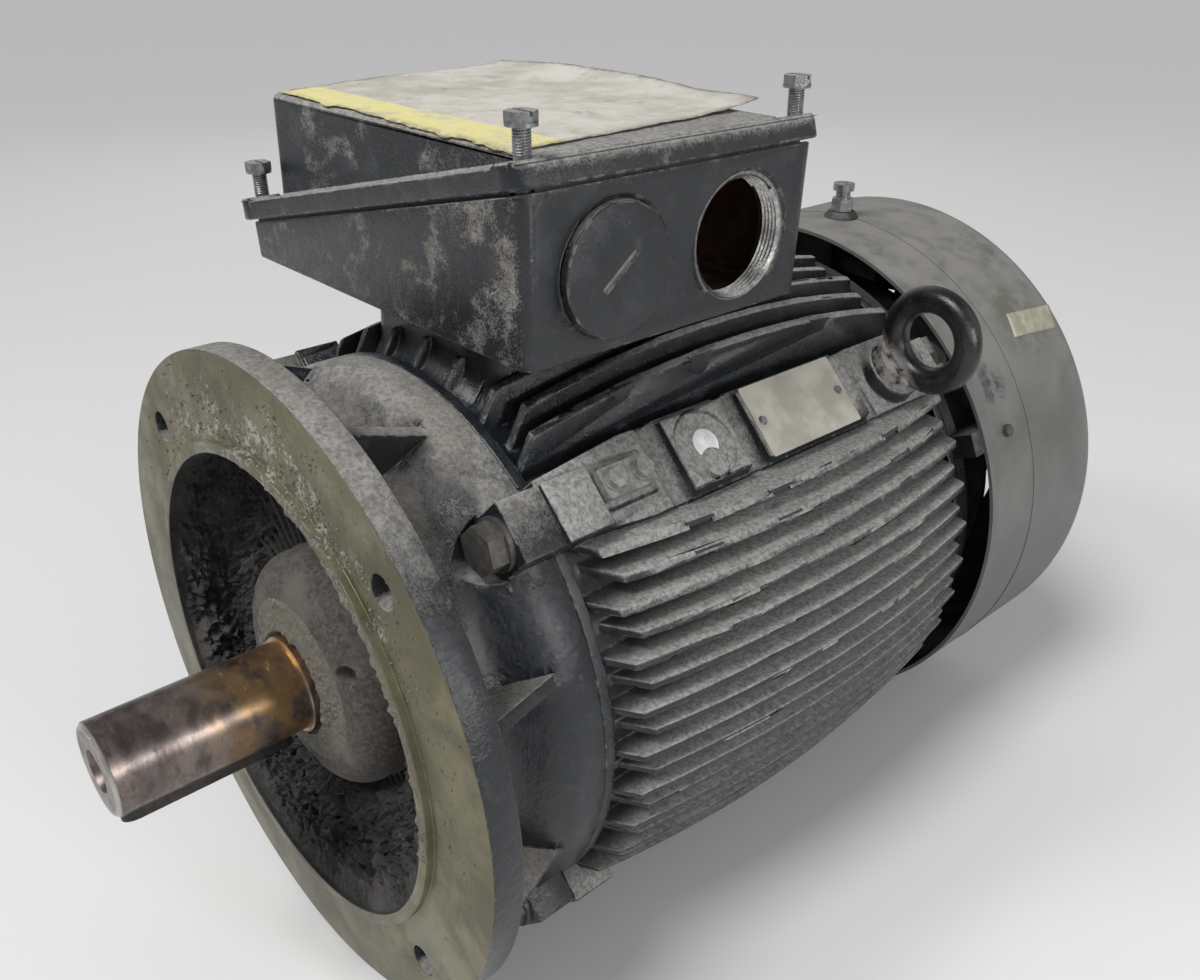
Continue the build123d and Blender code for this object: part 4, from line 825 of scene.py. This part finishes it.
crumbs("flangeCrumbs", shieldTree, faceSpots(flangeCrumbLook), flangeCrumbLook["sizes"], "crumb")
crumbs("bellCrumbs", shieldTree, drumSpots(bellCrumbLook), bellCrumbLook["sizes"], "clod")
print("crumbs scattered")


# Drive key

keyLook = {"angle": -70, "middleY": -0.057, "length": 0.0998, "width": 0.0158,
           "bottom": 0.0216, "top": 0.0318, "edge": 0.0006, "endSteps": 5}

outward = ontoAxis(1, math.radians(keyLook["angle"]), 0)
across = outward.cross(Vector((0, 1, 0)))
keyHeight = keyLook["top"] - keyLook["bottom"]
keyShell = bmesh.new()
bmesh.ops.create_cube(keyShell, size=1)
bmesh.ops.scale(keyShell, verts=keyShell.verts,
                vec=(keyLook["length"], keyLook["width"], keyHeight))
upright = [e for e in keyShell.edges if abs(e.verts[0].co.z - e.verts[1].co.z) > keyHeight / 2]
bmesh.ops.bevel(keyShell, geom=upright, offset=keyLook["width"] / 2,
                segments=keyLook["endSteps"], profile=0.5, affect="EDGES",
                clamp_overlap=False, material=-1)
bmesh.ops.remove_doubles(keyShell, verts=keyShell.verts, dist=1e-5)
topEdges = [e for e in keyShell.edges if min(v.co.z for v in e.verts) > keyHeight / 2 - 1e-5]
bmesh.ops.bevel(keyShell, geom=topEdges, offset=keyLook["edge"],
                segments=edgeLook["segments"], profile=0.5, affect="EDGES", material=-1)
keyTurn = Matrix((Vector((0, 1, 0)), across, outward)).transposed().to_4x4()
keyPlace = outward * (keyLook["bottom"] + keyHeight / 2) + Vector((0, keyLook["middleY"], 0))
bmesh.ops.transform(keyShell, matrix=Matrix.Translation(keyPlace) @ keyTurn,
                    verts=keyShell.verts)
bmesh.ops.recalc_face_normals(keyShell, faces=keyShell.faces)
placePiece(keyShell, "driveKey", "rotor", ["key"])
print("drive key made")


# Threads

def threadSkin(shell, middle, axis, look):
    # a V profile spun round the axis, climbing one pitch a turn
    side = axis.orthogonal().normalized()
    climb = axis * look["pitch"]
    places = (middle + side * look["root"], middle + side * look["crest"] + climb / 2,
              middle + side * look["root"] + climb)
    profile = [shell.verts.new(place) for place in places]
    lines = [shell.edges.new(pair) for pair in zip(profile, profile[1:])]
    bmesh.ops.spin(shell, geom=profile + lines, cent=middle, axis=axis,
                   dvec=climb / look["steps"], angle=turn * look["turns"],
                   steps=look["steps"] * look["turns"], use_merge=False)


def finishThread(shell, outwards):
    # joins the turns and points the skin away from the axis, or toward it in a bore
    bmesh.ops.remove_doubles(shell, verts=shell.verts, dist=1e-6)
    bmesh.ops.recalc_face_normals(shell, faces=shell.faces)
    wrong = [f for f in shell.faces if f.normal.dot(outwards(f.calc_center_median())) < 0]
    bmesh.ops.reverse_faces(shell, faces=wrong)
    for face in shell.faces:
        face.smooth = True


entryLook = {"middle": (0.1190, 0.2235, 0.2510), "root": 0.03148, "crest": 0.02990,
             "pitch": 0.0024, "turns": 5, "steps": 96}

entryMiddle = Vector(entryLook["middle"])
entryShell = bmesh.new()
threadSkin(entryShell, entryMiddle, Vector((1, 0, 0)), entryLook)
finishThread(entryShell, lambda at: Vector((0, entryMiddle.y - at.y, entryMiddle.z - at.z)))
placePiece(entryShell, "entryThread", "base", ["thread"])

screwLook = {"drop": 0.0194, "root": 0.00375, "crest": 0.00435, "pitch": 0.00125,
             "turns": 10, "steps": 20, "between": 0.1785}

screwShell = bmesh.new()
screwPlaces = []
lidScrews = [v.co for v in nodes["lid_screws"].data.vertices]
for nearX in (False, True):
    for rearY in (False, True):
        own = [co for co in lidScrews
               if (co.x > 0) == nearX and (co.y > screwLook["between"]) == rearY]
        middle = Vector([(min(co[i] for co in own) + max(co[i] for co in own)) / 2
                         for i in range(3)])
        middle.z = max(co.z for co in own) - screwLook["drop"]
        screwPlaces.append(middle)
        threadSkin(screwShell, middle, Vector((0, 0, 1)), screwLook)


def fromNearestScrew(at):
    nearest = min(screwPlaces, key=lambda place: math.hypot(place.x - at.x, place.y - at.y))
    return Vector((at.x - nearest.x, at.y - nearest.y, 0))


finishThread(screwShell, fromNearestScrew)
placePiece(screwShell, "lidScrewThreads", "lid", ["zinc"])
print("threads made")


# Paper sheet on the lid

paperLook = {
    # corners in the order front far, front near, rear near, rear far
    "corners": ((-0.1120, 0.0985), (0.1130, 0.0950), (0.0965, 0.2740), (-0.1285, 0.2700)),
    "z": 0.30690, "flat": (0.226, 0.1755), "thickness": 0.00035, "columns": 84, "rows": 64,
    "crease": 0.0007, "torn": 0.0022, "curl": 0.0070, "billow": 0.0022,
    "frontEdge": 0.0972, "farEdge": -0.1195,     # edges of the lid, where the sheet bends down
    "borderSteps": 40,
}


def paperPoint(u, v):
    look = paperLook
    frontFar, frontNear, rearNear, rearFar = (Vector((*corner, 0)) for corner in look["corners"])
    place = frontFar.lerp(frontNear, u).lerp(rearFar.lerp(rearNear, u), v)
    along, across = u * 0.2, v * 0.2
    place.y += look["torn"] * (rough(Vector((along, 0, 1)), 0.02) * (1 - v) ** 6
                               + rough(Vector((along, 0, 2)), 0.025) * v ** 6)
    place.x += look["torn"] * (rough(Vector((0, across, 3)), 0.02) * (1 - u) ** 8
                               + rough(Vector((0, across, 4)), 0.02) * u ** 8)
    wrinkles = 0.6 + rough(place, 0.05, 3) + 0.4 * rough(place, 0.014, 3)
    curl = v ** 7 * (0.55 + 0.45 * math.sin(math.pi * min(1.0, u * 1.25)))
    billow = math.sin(math.pi * v) * (1 - u) ** 3
    sag = (0.85 * max(0.0, look["frontEdge"] - place.y)
           + 0.55 * max(0.0, look["farEdge"] - place.x) * (1 - v))
    place.z = (look["z"] + look["crease"] * wrinkles + look["curl"] * curl
               + look["billow"] * billow - sag)
    return place


sheetShell = bmesh.new()
borderMark = sheetShell.verts.layers.float.new("border")
bmesh.ops.create_grid(sheetShell, x_segments=paperLook["columns"], y_segments=paperLook["rows"],
                      size=0.5)
for vert in sheetShell.verts:
    u, v = vert.co.x + 0.5, vert.co.y + 0.5
    vert[borderMark] = max(0.0, 1 - min(u, 1 - u, v, 1 - v) * paperLook["borderSteps"])
    vert.co = paperPoint(u, v)
for face in sheetShell.faces:
    face.smooth = True
lidPaper = placePiece(sheetShell, "lidPaper", "lid", ["paper"])
thicken = lidPaper.modifiers.new("thickness", "SOLIDIFY")
thicken.thickness = paperLook["thickness"]
thicken.offset = 1.0
print("lid paper laid")


# Small plates and marks

labelLook = {"y": 0.5480, "length": 0.055, "angle": 43.9, "height": 5.4, "radius": 0.1953,
             "skew": -1.6, "slip": 0.006, "thickness": 0.0005, "columns": 16, "rows": 10}

labelShell = bmesh.new()
bmesh.ops.create_grid(labelShell, x_segments=labelLook["columns"], y_segments=labelLook["rows"],
                      size=0.5)
for vert in labelShell.verts:
    u, v = vert.co.x, vert.co.y
    angle = math.radians(labelLook["angle"] + labelLook["height"] * v + labelLook["skew"] * u)
    y = labelLook["y"] + labelLook["length"] * u + labelLook["slip"] * v
    vert.co = ontoAxis(labelLook["radius"], angle, y)
cowlLabel = placePiece(labelShell, "cowlLabel", "base", ["label"])
thicken = cowlLabel.modifiers.new("thickness", "SOLIDIFY")
thicken.thickness = labelLook["thickness"]
thicken.offset = -1.0     # toward the cowl

spotLook = {"y": 0.2042, "aside": -0.0042, "radius": 0.0088, "away": 0.1933,
            "thickness": 0.0004}

railOut = Vector((slant, 0, slant))
railDown = Vector((slant, 0, -slant))
spotTurn = railOut.to_track_quat("Z", "Y").to_matrix().to_4x4()
spotPlace = (railOut * (spotLook["away"] + spotLook["thickness"] / 2)
             + railDown * spotLook["aside"] + Vector((0, spotLook["y"], 0)))
spotShell = bmesh.new()
bmesh.ops.create_cone(spotShell, cap_ends=True, segments=48, radius1=spotLook["radius"],
                      radius2=spotLook["radius"] * 0.98, depth=spotLook["thickness"],
                      matrix=Matrix.Translation(spotPlace) @ spotTurn)
placePiece(spotShell, "railSpot", "base", ["spot"])
print("plates and marks made")


# Floor, lamps and camera

stageLook = {
    "floorZ": -0.2012,
    "floorHalf": 14,
    "floorTone": (0.64, 0.64, 0.64),
    "world": 0.24,
    "sun": ((0.05, -0.85, 1.30), 1.95, 20),   # where it shines from, strength, width in degrees
    "lamps": [   # place, aim, size, watts
        ((-0.45, -1.0, 1.5), (0.0, 0.1, 0.0), 0.35, 15),
        ((1.5, -0.6, 0.8), (0.1, 0.1, 0.0), 0.9, 4),
        ((1.5, 0.25, 0.50), (0.15, 0.06, 0.0), 0.22, 7),
        ((1.7, 1.7, 1.2), (0.15, 0.5, 0.0), 2.0, 8),
        ((-1.8, 1.5, 1.4), (0.0, 0.4, 0.0), 2.2, 6),
    ],
}

floorShell = bmesh.new()
bmesh.ops.create_grid(floorShell, x_segments=1, y_segments=1, size=stageLook["floorHalf"],
                      matrix=Matrix.Translation((0, 0, stageLook["floorZ"])))
floorMesh = bpy.data.meshes.new("studioFloor")
floorShell.to_mesh(floorMesh)
floorShell.free()
studioFloor = bpy.data.objects.new("studioFloor", floorMesh)
scene.collection.objects.link(studioFloor)
floorMesh.materials.append(Finish("studioFloorPaint").use(stageLook["floorTone"], 0.9))

world = bpy.data.worlds.new("studioWorld")
world.use_nodes = True
scene.world = world
sky = world.node_tree.nodes["Background"]
sky.inputs["Color"].default_value = (1.0, 1.0, 1.0, 1)
sky.inputs["Strength"].default_value = stageLook["world"]

sunFrom, sunStrength, sunWidth = stageLook["sun"]
sun = bpy.data.lights.new("softSun", "SUN")
sun.energy = sunStrength
sun.angle = math.radians(sunWidth)
sunHolder = bpy.data.objects.new("softSun", sun)
sunHolder.rotation_euler = Vector(sunFrom).to_track_quat("Z", "Y").to_euler()
scene.collection.objects.link(sunHolder)

for index, (place, aim, size, watts) in enumerate(stageLook["lamps"]):
    lamp = bpy.data.lights.new(f"softLamp{index}", "AREA")
    lamp.size = size
    lamp.energy = watts
    holder = bpy.data.objects.new(f"softLamp{index}", lamp)
    holder.location = place
    holder.rotation_euler = (Vector(aim) - Vector(place)).to_track_quat("-Z", "Y").to_euler()
    scene.collection.objects.link(holder)

cameraLook = {
    "place": (0.50942, -0.20886, 0.40022),
    "angles": (61.5385, -0.4315, 47.5275),
    "lens": 33.017, "sensor": 36,
    "shift": (-0.01465, 0.01403),
}

lens = bpy.data.cameras.new("photoCamera")
lens.sensor_width = cameraLook["sensor"]
lens.lens = cameraLook["lens"]
lens.shift_x, lens.shift_y = cameraLook["shift"]
lens.clip_start = 0.01
photoCamera = bpy.data.objects.new("photoCamera", lens)
photoCamera.location = cameraLook["place"]
photoCamera.rotation_euler = Euler([math.radians(angle) for angle in cameraLook["angles"]])
scene.collection.objects.link(photoCamera)
scene.camera = photoCamera
scene.view_settings.view_transform = "Standard"
print("stage and camera set")
